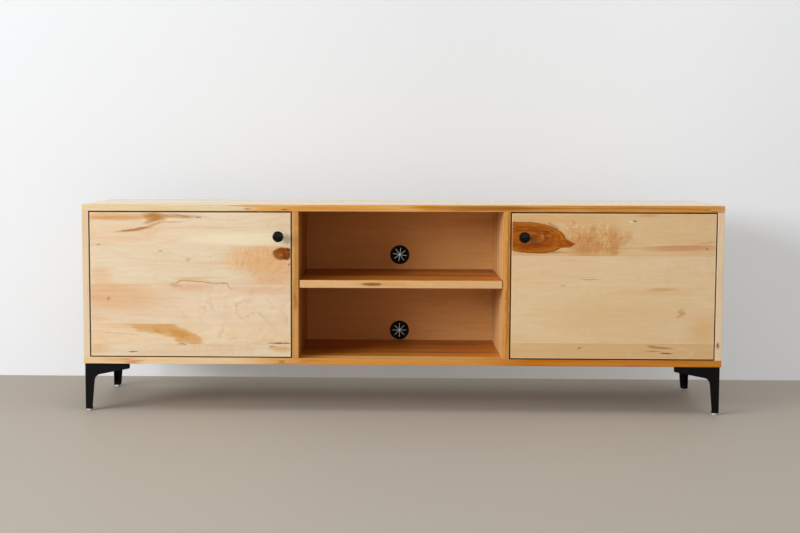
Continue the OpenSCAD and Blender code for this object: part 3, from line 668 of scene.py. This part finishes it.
# The boards' figure, read from the photograph
LEFT_DOOR_JOINTS = [197, 255, 370, 480]
LEFT_DOOR_TONES = ["E0CEB1", "E4CDAC", "E1CBAF", "E1D0B4", "E3D1B5"]
LEFT_DOOR_FIGURES = [
    # Top board: streaks that come in from the left edge, a darker patch and a second streak below it
    (-820, 561, 110, 6.5, 0, 0.6, "CA8A46", 0.88),
    (-800, 571, 110, 5.0, 0, 0.6, "D8A468", 0.70),
    (-708, 564, 30, 12, -8, 0.5, "B47A30", 0.92),
    (-700, 566, 22, 6, -10, 0.5, "A0682A", 0.70),
    (-636, 565, 62, 5.0, -1, 0.6, "B47A36", 0.75),
    (-655, 549, 34, 2.4, 2, 0.6, "BE8548", 0.70),
    (-768, 526, 44, 3.2, 7, 0.6, "B27432", 0.95),
    (-715, 538, 34, 4.0, 20, 0.6, "B87C3A", 0.70),
    (-742, 532, 17, 2.0, 8, 0.5, "8A5624", 0.80),
    (-775, 523, 24, 1.8, 3, 0.5, "9A6632", 0.70),
    (-711, 553, 24, 6, 16, 0.5, "AE7428", 0.80),
    (-688, 572, 30, 3.0, -14, 0.6, "B07A34", 0.65),
    (-640, 570, 30, 1.6, -8, 0.6, "A87034", 0.65),
    (-578, 563, 8, 2.0, 0, 0.5, "8E6230", 0.75),
    (-616, 563, 12, 1.4, 0, 0.5, "94622F", 0.85),
    (-420, 500, 190, 17, 0, 0.5, "EEE1BE", 0.65),
    (-370, 575, 60, 3.0, 0, 0.7, "DDB080", 0.45),
    (-560, 533, 120, 2.0, 1, 0.7, "D9AC78", 0.50),
    # Second board: orange towards the divider, and small marks
    (-368, 440, 100, 52, 0, 0.6, "D9A064", 0.55),
    (-360, 380, 70, 30, 0, 0.7, "D8A87C", 0.45),
    (-866, 484, 5, 2.5, 20, 0.4, "8A6A48", 0.60),
    (-688, 466, 6, 2.2, 0, 0.4, "7F6A50", 0.60),
    (-609, 441, 7, 4, 30, 0.5, "9A7B55", 0.40),
    (-862, 392, 26, 30, 40, 0.7, "D9AA78", 0.60),
    (-319, 428, 5, 2.2, 55, 0.5, "6B3A18", 0.80),
    # The dark wavy line, and the smear over it
    (-600, 384, 44, 5, -2, 0.6, "D3A05E", 0.70),
    (-550, 389, 64, 1.6, -1, 0.6, "CFA872", 0.55),
    (-653, 372, 14, 1.3, 11, 0.5, "A47848", 0.65),
    (-636, 378, 8, 1.4, 30, 0.5, "8E6236", 0.80),
    (-610, 380, 23, 1.6, -4, 0.5, "9C7434", 0.70),
    (-579, 378, 13, 1.4, 0, 0.5, "8C5E30", 0.75),
    (-549, 375, 23, 1.4, -7, 0.5, "865A2E", 0.78),
    (-513, 374, 19, 1.4, -2, 0.5, "865A2E", 0.80),
    (-494, 366, 8, 1.3, -54, 0.5, "94693E", 0.75),
    (-486, 359, 6, 1.2, -20, 0.5, "9A7248", 0.65),
    (-645, 366, 16, 5, 0, 0.6, "C68E58", 0.60),
    # Third board: tan at the left, pink in the middle
    (-830, 340, 130, 44, -6, 0.6, "D49C62", 0.60),
    (-600, 360, 62, 10, 2, 0.7, "D6A07A", 0.60),
    (-400, 352, 90, 11, -2, 0.7, "D8A276", 0.50),
    (-840, 328, 5, 3, 60, 0.4, "8A6038", 0.70),
    (-868, 270, 26, 10, 0, 0.7, "DDAA78", 0.50),
    # Fourth board: an amber patch that starts at the joint and slopes down over a short crack
    (-712, 249, 76, 21, -6, 0.2, "CC9C5C", 0.88),
    (-660, 236, 52, 20, -10, 0.2, "CE9C5A", 0.80),
    (-614, 216, 46, 17, -14, 0.18, "CE9448", 0.85),
    (-636, 226, 26, 9, -20, 0.5, "BF8440", 0.50),
    (-700, 236, 16, 9, -30, 0.6, "C08C48", 0.45),
    (-628, 197, 13, 1.4, 0, 0.4, "30200E", 0.95),
    (-820, 228, 70, 1.2, -3, 0.6, "B98A58", 0.55),
    # Bottom board: cracks and a tan corner
    (-771, 174, 14, 1.4, 3, 0.4, "4A2C12", 0.90),
    (-836, 159, 12, 1.6, -4, 0.4, "2E1808", 0.95),
    (-345, 201, 34, 1.6, 0, 0.4, "38200C", 0.95),
    (-368, 191, 12, 1.4, 4, 0.4, "38200C", 0.90),
    (-345, 185, 30, 9, 0, 0.5, "CF9A50", 0.70),
    (-870, 182, 34, 15, 0, 0.7, "D2A25C", 0.55),
]
LEFT_DOOR_CURLS = [
    (-420, 446, 84, 40, 10, "DDAC74", 0.40, 15, 0.5),
    (-366, 400, 60, 34, 35, "DDAC78", 0.35, 17, 0.4),
]
LEFT_DOOR_HEARTS = [([(-340, 459, 24, 17, 4), (-325, 460, 16, 16, 0)], "7A3E10", "5A2A08")]
LEFT_DOOR_MARKS = [
    (-356, 457, 9, 8, 0, 0.6, "8A5428", 0.75),
    (-341, 464, 14, 8, 0, 0.6, "84400E", 0.60),
    (-343, 455, 6, 5, 0, 0.6, "A0623A", 0.55),
    (-333, 459, 4, 7, 15, 0.6, "642C0A", 0.70),
    (-320, 470, 7, 4, -30, 0.5, "502204", 0.85),
    (-319, 456, 4, 8, 0, 0.5, "542606", 0.80),
    (-329, 445, 9, 4, -12, 0.5, "542606", 0.85),
    (-325, 452, 11, 8, 0, 0.6, "6A3208", 0.60),
    (-352, 452, 9, 8, 0, 0.7, "9C6834", 0.45),
]
LEFT_DOOR_QUILTS = [(-520, 300, 110, 60, 0.28), (-370, 310, 90, 66, 0.20), (-470, 226, 110, 24, 0.18)]

RIGHT_DOOR_JOINTS = [205, 366, 456]
RIGHT_DOOR_TONES = ["D9B482", "E5C99F", "E5C9A0", "DFBF90"]
RIGHT_DOOR_FIGURES = [
    # Top board
    (420, 562, 150, 13, 0, 0.8, "CF9552", 0.45),
    (700, 572, 26, 5, 0, 0.6, "D08C48", 0.60),
    (661, 555, 6, 2, 0, 0.4, "5E3C1E", 0.85),
    (651, 554, 7, 2.4, 0, 0.4, "F0E2C4", 0.80),
    (795, 478, 98, 8, 1, 0.5, "CC8C62", 0.75),
    (800, 484, 88, 1.6, 1, 0.5, "A86C50", 0.60),
    (862, 494, 30, 1.6, 8, 0.6, "B98A5A", 0.55),
    (640, 478, 90, 1.2, 2, 0.6, "B58C5C", 0.45),
    (640, 505, 9, 24, -25, 0.6, "C99458", 0.55),
    (552, 498, 74, 44, 0, 0.7, "C47C22", 0.50),
    (520, 486, 38, 32, 0, 0.6, "BA701E", 0.50),
    (604, 490, 15, 34, -6, 0.6, "BC7628", 0.55),
    (866, 477, 2, 4, 0, 0.4, "6B4424", 0.80),
    # The middle boards
    (541, 389, 30, 1.4, 0, 0.5, "B08A5C", 0.70),
    (462, 371, 8, 2, 0, 0.5, "A88458", 0.60),
    (500, 394, 60, 1.2, 1, 0.6, "C09C6C", 0.45),
    (744, 361, 42, 4.0, 1, 0.5, "CF9250", 0.70),
    (720, 352, 90, 9, 0, 0.8, "D8AA70", 0.50),
    (797, 291, 8, 15, -38, 0.5, "C67E3C", 0.70),
    (860, 240, 40, 34, 20, 0.8, "D6A264", 0.50),
    (600, 290, 170, 48, 0, 0.9, "D6AC72", 0.40),
    # Bottom board
    (511, 192, 7, 2.4, 30, 0.5, "7D6040", 0.75),
    (742, 194, 30, 3.0, -3, 0.5, "AA5430", 0.80),
    (715, 198, 14, 3.0, -3, 0.6, "AA5430", 0.55),
    (757, 178, 17, 1.8, -2, 0.4, "46200C", 0.95),
    (720, 184, 24, 1.4, -2, 0.5, "8A5228", 0.70),
]
RIGHT_DOOR_CURLS = [
    (487, 536, 22, 18, -45, "DCAA6C", 0.35, 8, 1.0),
    (556, 502, 78, 46, 14, "CC883A", 0.10, 9, 0.9),
]
RIGHT_DOOR_HEARTS = [
    ([(362, 508, 108, 44, -4.5), (452, 492, 38, 13, -6), (476, 489, 17, 4.5, -2)], "A45206", "6A3204"),
]
RIGHT_DOOR_MARKS = [
    (384, 536, 46, 3.0, -3, 0.6, "8C4006", 0.60),
    (392, 526, 40, 2.4, 0, 0.6, "7C3604", 0.65),
    (384, 486, 40, 1.8, 0, 0.6, "86380A", 0.75),
    (432, 541, 18, 4.0, -32, 0.6, "7C3C08", 0.50),
    (410, 520, 9, 6.0, 20, 0.6, "743406", 0.65),
    (388, 512, 14, 6.0, 0, 0.6, "9C3E10", 0.60),
    (402, 511, 4, 7.0, 15, 0.5, "C88A48", 0.60),
    (377, 499, 22, 5.0, 0, 0.7, "9A7046", 0.45),
    (484, 490, 10, 5.0, 0, 0.6, "7A3E0A", 0.75),
    (420, 466, 56, 2.6, 0, 0.6, "7E3E08", 0.60),
]

# The case's panels. Figures at FRONT_EDGE are streaks on a panel's front edge
TOP_JOINTS = [-110, -10, 95]
TOP_TONES = ["E1CFA7", "EDDAB6", "EBD6B1", "E7D2AC"]
TOP_FIGURES = [
    (-172, FRONT_EDGE, 262, 20, 0, 0.12, "D8963A", 0.94),
    (-210, FRONT_EDGE, 140, 9, 0, 0.4, "C47A24", 0.50, 586, 9),
    (500, FRONT_EDGE, 462, 24, 0, 0.08, "CC820E", 0.96),
    (250, FRONT_EDGE, 190, 9, 0, 0.4, "8E4C08", 0.60, 590, 7),
    (560, FRONT_EDGE, 160, 9, 0, 0.5, "9C5A0C", 0.55, 574, 6),
    (740, FRONT_EDGE, 90, 9, 0, 0.5, "D08A34", 0.60, 580, 14),
    (650, FRONT_EDGE, 230, 9, 0, 0.5, "D89A3A", 0.50, 577, 4),
    (520, FRONT_EDGE, 380, 9, 0, 0.2, "8E5210", 0.50, 591, 2.5),
    (904, FRONT_EDGE, 16, 10, 0, 0.3, "D6A266", 0.85),
    (-438, FRONT_EDGE, 12, 7, 0, 0.5, "8C5418", 0.80, 587, 1.8),
    (-332, FRONT_EDGE, 9, 7, 0, 0.5, "7C4410", 0.80, 585, 2.0),
    (890, FRONT_EDGE, 7, 9, 0, 0.5, "6A360C", 0.75, 588, 3),
    (880, FRONT_EDGE, 8, 9, 0, 0.5, "6A360C", 0.60, 583, 3),
    (-700, FRONT_EDGE, 200, 10, 0, 0.8, "DDB478", 0.40, 576, 8),
]

BOTTOM_JOINTS = [-150, -60, 60]
BOTTOM_TONES = ["DDB682", "E2BC88", "DAB07C", "DFB988"]
# Painted shade: the bay's floor is darker and deeper orange than the rest of the panel, most at the back; the
# first tone also colours the front edge
BAY_FLOOR_SHADED_TONES = ["D8A460", "CE7E1C", "C67212", "BE680A"]
BOTTOM_FIGURES = [
    # Painted shade on the bay floor's left part, where the left divider shades it, and painted light on its
    # right part
    (-200, 0, 200, 60, 0, 0.6, "803A02", 0.70),
    (-220, -100, 180, 44, 0, 0.6, "8E4604", 0.60),
    (210, -110, 130, 38, 0, 0.6, "E09430", 0.60),
    (-60, -172, 130, 13, 0, 0.5, "EAB66A", 0.65),
    (180, -30, 150, 16, 0, 0.5, "DE9434", 0.55),
    (140, 104, 120, 15, 0, 0.4, "743806", 0.65),
    (80, 72, 60, 12, 0, 0.5, "DCA060", 0.50),
    (0, 214, 1000, 16, 0, 0.2, "CE9A58", 0.85),
    (-700, FRONT_EDGE, 260, 20, 0, 0.35, "E6C9A0", 0.90),
    (-768, FRONT_EDGE, 20, 9, 0, 0.5, "C4682A", 0.80, 146, 9),
    (-800, FRONT_EDGE, 60, 9, 0, 0.6, "CE8848", 0.50, 150, 5),
    (-160, FRONT_EDGE, 120, 9, 0, 0.5, "E0A04C", 0.60, 148, 10),
    (60, FRONT_EDGE, 420, 40, 0, 0.3, "CA8537", 0.85),
    (660, FRONT_EDGE, 400, 34, 0, 0.25, "BC6A00", 0.97),
    (560, FRONT_EDGE, 180, 9, 0, 0.5, "CE8A2C", 0.60, 146, 4),
    (640, FRONT_EDGE, 60, 9, 0, 0.5, "94480C", 0.65, 139, 3),
    (800, FRONT_EDGE, 150, 9, 0, 0.5, "CC8418", 0.60, 146, 4),
    (483, FRONT_EDGE, 4, 7, 0, 0.5, "3A1C06", 0.80, 135, 2.5),
    (-341, FRONT_EDGE, 9, 7, 0, 0.5, "945418", 0.70, 147, 4),
    # Painted light: paler patches at the front of the bay floor, out of the shelf's shade
    (40, -173, 260, 20, 0, 0.3, "FACC7A", 0.80),
    (0, -118, 190, 28, 0, 0.4, "EEA848", 0.55),
    (-50, -20, 150, 30, 0, 0.5, "E2983A", 0.50),
    (-300, -176, 80, 22, 0, 0.5, "844408", 0.80),
    (170, -72, 120, 12, 0, 0.5, "A0540A", 0.50),
    (120, -60, 260, 16, 0, 0.4, "9C4E0C", 0.55),
    (-40, -130, 220, 9, 1, 0.4, "9C4E0C", 0.55),
]

LEFT_SIDE_JOINTS = [-95, 12, 120]
LEFT_SIDE_TONES = ["DDCAAC", "E0C69E", "E2C8A2", "E0C49A"]
RIGHT_SIDE_JOINTS = [-80, 20, 130]
RIGHT_SIDE_TONES = ["EBD1AD", "E3C698", "E7CCA4", "E2C698"]
RIGHT_SIDE_FIGURES = [
    # A knot at the front edge
    (201, FRONT_EDGE, 9, 8, 0, 0.5, "A04A18", 0.90, 903, 4.5),
    (203, FRONT_EDGE, 3, 6, 0, 0.5, "5A2408", 0.90, 902, 2),
]

# The shelves. The middle one's first board is its front edge
MIDDLE_SHELF_JOINTS = [SHELF_FRONT + 1, -60, 70]
# Painted shade: behind its front edge the middle shelf is darker and deeper orange than the side shelves,
# most at the back
MIDDLE_SHELF_SHADED_TONES = ["DDB27E", "D2801E", "C06A14", "B0600E"]
SIDE_SHELF_JOINTS = [-40, 75]
SIDE_SHELF_TONES = ["E6C9A0", "E2C294", "E5C89E"]
MIDDLE_SHELF_FIGURES = [
    # Painted shade: dark patches over the shelf's left part, where the left divider shades it
    (-240, -160, 130, 40, 0, 0.5, "6E2E02", 0.80),
    (-200, 20, 190, 60, 0, 0.6, "7E3A04", 0.70),
    (-200, -110, 190, 50, 0, 0.6, "8A4404", 0.65),
    (-180, 130, 190, 60, 0, 0.6, "7A3804", 0.60),
    (160, 110, 150, 16, 0, 0.4, "8A4810", 0.55),
    (170, 40, 170, 24, 0, 0.4, "E4A050", 0.65),
    (150, -20, 180, 16, 0, 0.4, "A86414", 0.50),
    (40, -90, 240, 20, 0, 0.4, "D89A3C", 0.55),
    (60, -150, 260, 22, 0, 0.4, "A8660E", 0.55),
    (-84, SHELF_FRONT, 28, 7, 0, 0.4, "5A2E0C", 1.0, 372.5, 4.6),
    (-74, SHELF_FRONT, 16, 7, 0, 0.4, "1C0C04", 1.0, 372.5, 3.6),
    (-60, SHELF_FRONT, 70, 7, 0, 0.6, "C88A50", 0.50, 373, 5),
]

# The dividers. Their streaks at FRONT_EDGE lie beside each other across the thickness
LEFT_DIVIDER_JOINTS = [-70, 60]
LEFT_DIVIDER_TONES = ["DDB682", "E0BC88", "DAB280"]
# Painted shade: the left divider's face towards the bay is darker, as it looks away from the light; the first
# tone also colours its front edge
BAY_WALL_SHADED_TONES = ["C08A48", "A86008", "A86008"]
LEFT_DIVIDER_FIGURES = [
    (400, -60, 400, 26, 0, 0.4, "7A3C04", 0.55),
    (380, 110, 400, 22, 0, 0.4, "C87C22", 0.40),
    (330, FRONT_EDGE, 200, 9, 0, 0.6, "B8782E", 0.60, -299, 4),
    (318, FRONT_EDGE, 24, 9, 0, 0.5, "7C4412", 0.75, -301, 4),
    (480, FRONT_EDGE, 90, 9, 0, 0.6, "D8AC70", 0.60, -309, 5),
    (230, FRONT_EDGE, 90, 9, 0, 0.6, "D8A868", 0.55, -300, 5),
]

RIGHT_DIVIDER_JOINTS = [-90, 40]
RIGHT_DIVIDER_TONES = ["F0C084", "EEBE80", "EEC088"]
RIGHT_DIVIDER_FIGURES = [
    (480, 60, 200, 20, 0, 0.4, "9A5A1E", 0.55),
    (300, 120, 160, 16, 0, 0.4, "A8682C", 0.50),
    (430, -90, 300, 24, 2, 0.4, "F6D09C", 0.55),
    (520, -20, 140, 14, 4, 0.4, "A8641E", 0.50),
    (250, -40, 120, 14, 0, 0.4, "B87838", 0.45),
    (370, FRONT_EDGE, 330, 12, 0, 0.1, "C48230", 0.95),
    (380, FRONT_EDGE, 260, 9, 0, 0.5, "DCA458", 0.60, 296, 4),
    (420, FRONT_EDGE, 200, 9, 0, 0.5, "A8601A", 0.75, 306, 3.5),
    (260, FRONT_EDGE, 120, 9, 0, 0.5, "A65E1C", 0.60, 302, 3),
]


# Which piece has which material
SIDES = ("left", "right")
LEVELS = ("upper", "lower")
CORNERS = ("front_left", "front_right", "rear_left", "rear_right")


def slab_of(name):
    """The middle and the half sizes of a front slab in millimetres, along, across and into its boards."""
    low, high = (Vector(corner) * MM_PER_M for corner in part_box(name))
    middle, half = (low + high) / 2, (high - low) / 2
    return (middle.x, middle.z, middle.y), (half.x, half.z, half.y)


def dress(names, material):
    for name in names:
        slots = nodes[name].data.materials
        slots.clear()
        slots.append(material)


def dress_doors():
    dress(["left_door"],
          wood("maple_left_door", FRONT, DOOR_FACE, LEFT_DOOR_JOINTS, LEFT_DOOR_TONES, seed=3,
               figures=LEFT_DOOR_FIGURES, curls=LEFT_DOOR_CURLS, hearts=LEFT_DOOR_HEARTS,
               quilts=LEFT_DOOR_QUILTS, marks=LEFT_DOOR_MARKS, slab=slab_of("left_door")))
    dress(["right_door"],
          wood("maple_right_door", FRONT, DOOR_FACE, RIGHT_DOOR_JOINTS, RIGHT_DOOR_TONES, seed=11,
               figures=RIGHT_DOOR_FIGURES, curls=RIGHT_DOOR_CURLS, hearts=RIGHT_DOOR_HEARTS,
               marks=RIGHT_DOOR_MARKS, slab=slab_of("right_door"), contrast=0.7))


def dress_case():
    dress(["top_panel"],
          wood("maple_top", FLAT, TOP_MIDDLE, TOP_JOINTS, TOP_TONES, seed=21, figures=TOP_FIGURES,
               roughness=0.28, coat=0.4, relief_mm=0.012, figure_grain=EDGE_GRAIN))
    dress(["bottom_panel"],
          wood("maple_bottom", FLAT, BOTTOM_MIDDLE, BOTTOM_JOINTS, BOTTOM_TONES, seed=31,
               figures=BOTTOM_FIGURES, bay=((0, 0, 1), BAY_HALF, BAY_FLOOR_SHADED_TONES), coat=0.0,
               figure_grain=EDGE_GRAIN))
    dress(["left_side"],
          wood("maple_left_side", UPRIGHT, -SIDE_MIDDLE, LEFT_SIDE_JOINTS, LEFT_SIDE_TONES, seed=41))
    dress(["right_side"],
          wood("maple_right_side", UPRIGHT, SIDE_MIDDLE, RIGHT_SIDE_JOINTS, RIGHT_SIDE_TONES, seed=47,
               figures=RIGHT_SIDE_FIGURES))
    dress(["left_divider"],
          wood("maple_left_divider", UPRIGHT, -DIVIDER_MIDDLE, LEFT_DIVIDER_JOINTS, LEFT_DIVIDER_TONES,
               seed=53, figures=LEFT_DIVIDER_FIGURES, contrast=1.6,
               bay=((1, 0, 0), BAY_TOP, BAY_WALL_SHADED_TONES)))
    dress(["right_divider"],
          wood("maple_right_divider", UPRIGHT, DIVIDER_MIDDLE, RIGHT_DIVIDER_JOINTS, RIGHT_DIVIDER_TONES,
               seed=59, figures=RIGHT_DIVIDER_FIGURES, contrast=1.6))


def dress_shelves():
    dress(["middle_shelf"],
          wood("maple_middle_shelf", FLAT, SHELF_TOP, MIDDLE_SHELF_JOINTS, MIDDLE_SHELF_SHADED_TONES, seed=61,
               figures=MIDDLE_SHELF_FIGURES, contrast=1.4, coat=0.0))
    dress(["left_shelf", "right_shelf"],
          wood("maple_side_shelf", FLAT, SHELF_TOP, SIDE_SHELF_JOINTS, SIDE_SHELF_TONES, seed=67))


def dress_dowels_and_back():
    dress(["case_dowels"],
          wood("beech_dowels", FLAT, 0, joints=[], tones=["D2A876"], seed=71, contrast=0.6, roughness=0.55))
    dress(["back_panel"], veneered("maple_plywood"))


def dress_black_pieces():
    dress([f"{corner}_leg" for corner in CORNERS],
          speckled("black_powder_coat", "060606", "0A0908", grain_mm=0.9, roughness=0.5, bump_mm=0.05,
                   Specular_IOR_Level=0.1))
    dress(["leg_screws", "glide_bolts", "glide_nuts"],
          speckled("black_zinc", "1E1E20", "2A2A2C", grain_mm=0.6, roughness=0.34, bump_mm=0.02,
                   Metallic=0.6))
    dress([f"{side}_knob" for side in SIDES],
          speckled("black_satin_knob", "050505", "080808", grain_mm=0.7, roughness=0.12, bump_mm=0.006,
                   spread=0.02, Specular_IOR_Level=0.16))


def dress_metal():
    hinges = [f"{side}_hinge_{piece}" for side in SIDES for piece in ("cups", "pins", "arms", "plates")]
    dress(hinges, brushed("nickel_plate", "C9C7C2", "B9B6B0", roughness=0.26))
    screws = [f"{side}_{piece}" for side in SIDES
              for piece in ("knob_screw", "plate_screws", "cup_screws", "strike_screw")]
    dress(screws + ["back_screws", "catch_screws"],
          brushed("zinc_plate", "CFCDC6", "BDBEC0", roughness=0.30))
    dress([f"{side}_strike" for side in SIDES],
          brushed("strike_steel", "C2C1BE", "B2B1AE", roughness=0.34))
    dress([f"{shelf}_shelf_pins" for shelf in ("middle", *SIDES)],
          brushed("support_steel", "C8C6C2", "B8B6B0", roughness=0.24))


def dress_catches_and_outlets():
    dress([f"{side}_catch_magnet" for side in SIDES],
          speckled("ferrite_magnet", "39393B", "4A4A4C", grain_mm=0.5, roughness=0.5, bump_mm=0.02,
                   Metallic=0.3))
    dress([f"{side}_catch" for side in SIDES],
          speckled("catch_plastic", "E3DFD6", "D8D3C9", grain_mm=1.2, roughness=0.44, bump_mm=0.03))
    dress([f"{level}_grommet_ring" for level in LEVELS],
          speckled("grommet_plastic", "050505", "090909", grain_mm=1.0, roughness=0.5, bump_mm=0.03,
                   Specular_IOR_Level=0.08))
    dress([f"{level}_grommet_star" for level in LEVELS],
          speckled("grommet_rubber", "040404", "080808", grain_mm=0.8, roughness=0.68, bump_mm=0.04,
                   Specular_IOR_Level=0.08))
    dress([f"{corner}_glide" for corner in CORNERS], clear_nylon("clear_nylon"))


# Floor, wall and light, in metres
WALL_Y = 0.415
WALL_H = 4.5
ROOM = 9.0
PAINT_GRAIN = "A6A4A0"
PAINT_GRAIN_COVER = 0.03
PAINT_SPECULAR = 0.15
GLOW_REACH_MM = 1100       # right of the middle, where the wall's glow has risen to its most
WALL_GLOW = (0.13, 0.23)   # in the middle and there
SKY_ABOVE = (-0.1, 0.8, 0.08, 0.5)   # two heights, and the light at each
SKY_BEHIND = (0.1, 0.9, 0, 0.28)
SKY_SEEN = 0.9


def painted(t, colour, grain_mm, roughness):
    """The shader of a flat paint with a faint grain."""
    shader = t.add("ShaderNodeBsdfPrincipled")
    grain = t.tint(rgb(colour), PAINT_GRAIN, t.noise(t.mm, grain_mm), PAINT_GRAIN_COVER)
    t.plug(shader.inputs["Base Color"], grain)
    shader.inputs["Roughness"].default_value = roughness
    shader.inputs["Specular IOR Level"].default_value = PAINT_SPECULAR
    return shader


def floor_paint():
    t = Material("floor_paint")
    return t.show(painted(t, "AFA79B", grain_mm=14, roughness=0.6).outputs[0])


def wall_paint():
    """A wall that the camera sees a little lighter than the lamps make it, and that is clear from behind."""
    t = Material("wall_paint")
    shader = painted(t, "D2D5D9", grain_mm=8, roughness=0.8)
    shader.inputs["Emission Color"].default_value = WHITE
    glow = t.span(t.split(t.mm)[0], 0, GLOW_REACH_MM, *WALL_GLOW)
    t.plug(shader.inputs["Emission Strength"], t.times(t.seen("Glossy"), glow))
    behind = t.add("ShaderNodeNewGeometry").outputs["Backfacing"]
    clear = t.add("ShaderNodeBsdfTransparent").outputs[0]
    one_sided = t.add("ShaderNodeMixShader")
    for socket, value in zip(one_sided.inputs, (behind, shader.outputs[0], clear)):
        t.plug(socket, value)
    return t.show(one_sided.outputs[0])


def sheet_of(name, corners, material):
    mesh = bpy.data.meshes.new(name)
    mesh.from_pydata(corners, [], [(0, 1, 2, 3)])
    mesh.materials.append(material)
    sheet = bpy.data.objects.new(name, mesh)
    scene.collection.objects.link(sheet)
    return sheet


def make_room():
    """A floor, and a wall that casts no shadow and sheds no light on what is matt."""
    sheet_of("floor", [(-ROOM, -ROOM, 0), (ROOM, -ROOM, 0), (ROOM, ROOM, 0), (-ROOM, ROOM, 0)], floor_paint())
    wall = sheet_of("wall", [(-ROOM, WALL_Y, 0), (ROOM, WALL_Y, 0), (ROOM, WALL_Y, WALL_H),
                             (-ROOM, WALL_Y, WALL_H)], wall_paint())
    wall.visible_diffuse = False
    wall.visible_shadow = False


def lamp(name, at, target, wide, high, watts):
    data = bpy.data.lights.new(name, "AREA")
    data.shape = "RECTANGLE"
    data.size = wide
    data.size_y = high
    data.energy = watts
    light = bpy.data.objects.new(name, data)
    scene.collection.objects.link(light)
    light.location = at
    light.rotation_euler = (Vector(target) - Vector(at)).to_track_quat("-Z", "Y").to_euler()


def make_lamps():
    lamp("window", at=(-5.0, -4.2, 2.2), target=(0.2, 0, 0.4), wide=3.6, high=2.2, watts=358)
    lamp("room", at=(1.2, -6.0, 1.3), target=(0, 0, 0.35), wide=4.0, high=2.2, watts=12)
    lamp("ceiling", at=(0.2, -1.0, 3.4), target=(0, -0.3, 0), wide=4.0, high=2.0, watts=36)


def make_sky():
    """Soft light from above and behind, and little from the sides and the front.

    It is white where it is looked at, directly, in a gloss or through something clear.
    """
    world = bpy.data.worlds.new("studio")
    scene.world = world
    world.use_nodes = True
    t = Nodes(world.node_tree)
    _, back, up = t.split(t.add("ShaderNodeTexCoord").outputs["Generated"])
    above = t.span(up, *SKY_ABOVE, smooth=False)
    behind = t.span(back, *SKY_BEHIND, smooth=False)
    looked_at = t.seen("Glossy", "Transmission")
    shade = t.add("ShaderNodeBackground")
    shade.inputs["Color"].default_value = WHITE
    light = t.span(looked_at, 0, 1, t.math("ADD", above, behind), SKY_SEEN, smooth=False)
    t.plug(shade.inputs["Strength"], light)
    t.plug(t.add("ShaderNodeOutputWorld").inputs["Surface"], shade.outputs[0])


make_camera()
dress_doors()
dress_case()
dress_shelves()
dress_dowels_and_back()
dress_black_pieces()
dress_metal()
dress_catches_and_outlets()
make_room()
make_lamps()
make_sky()
scene.view_settings.view_transform = "Standard"
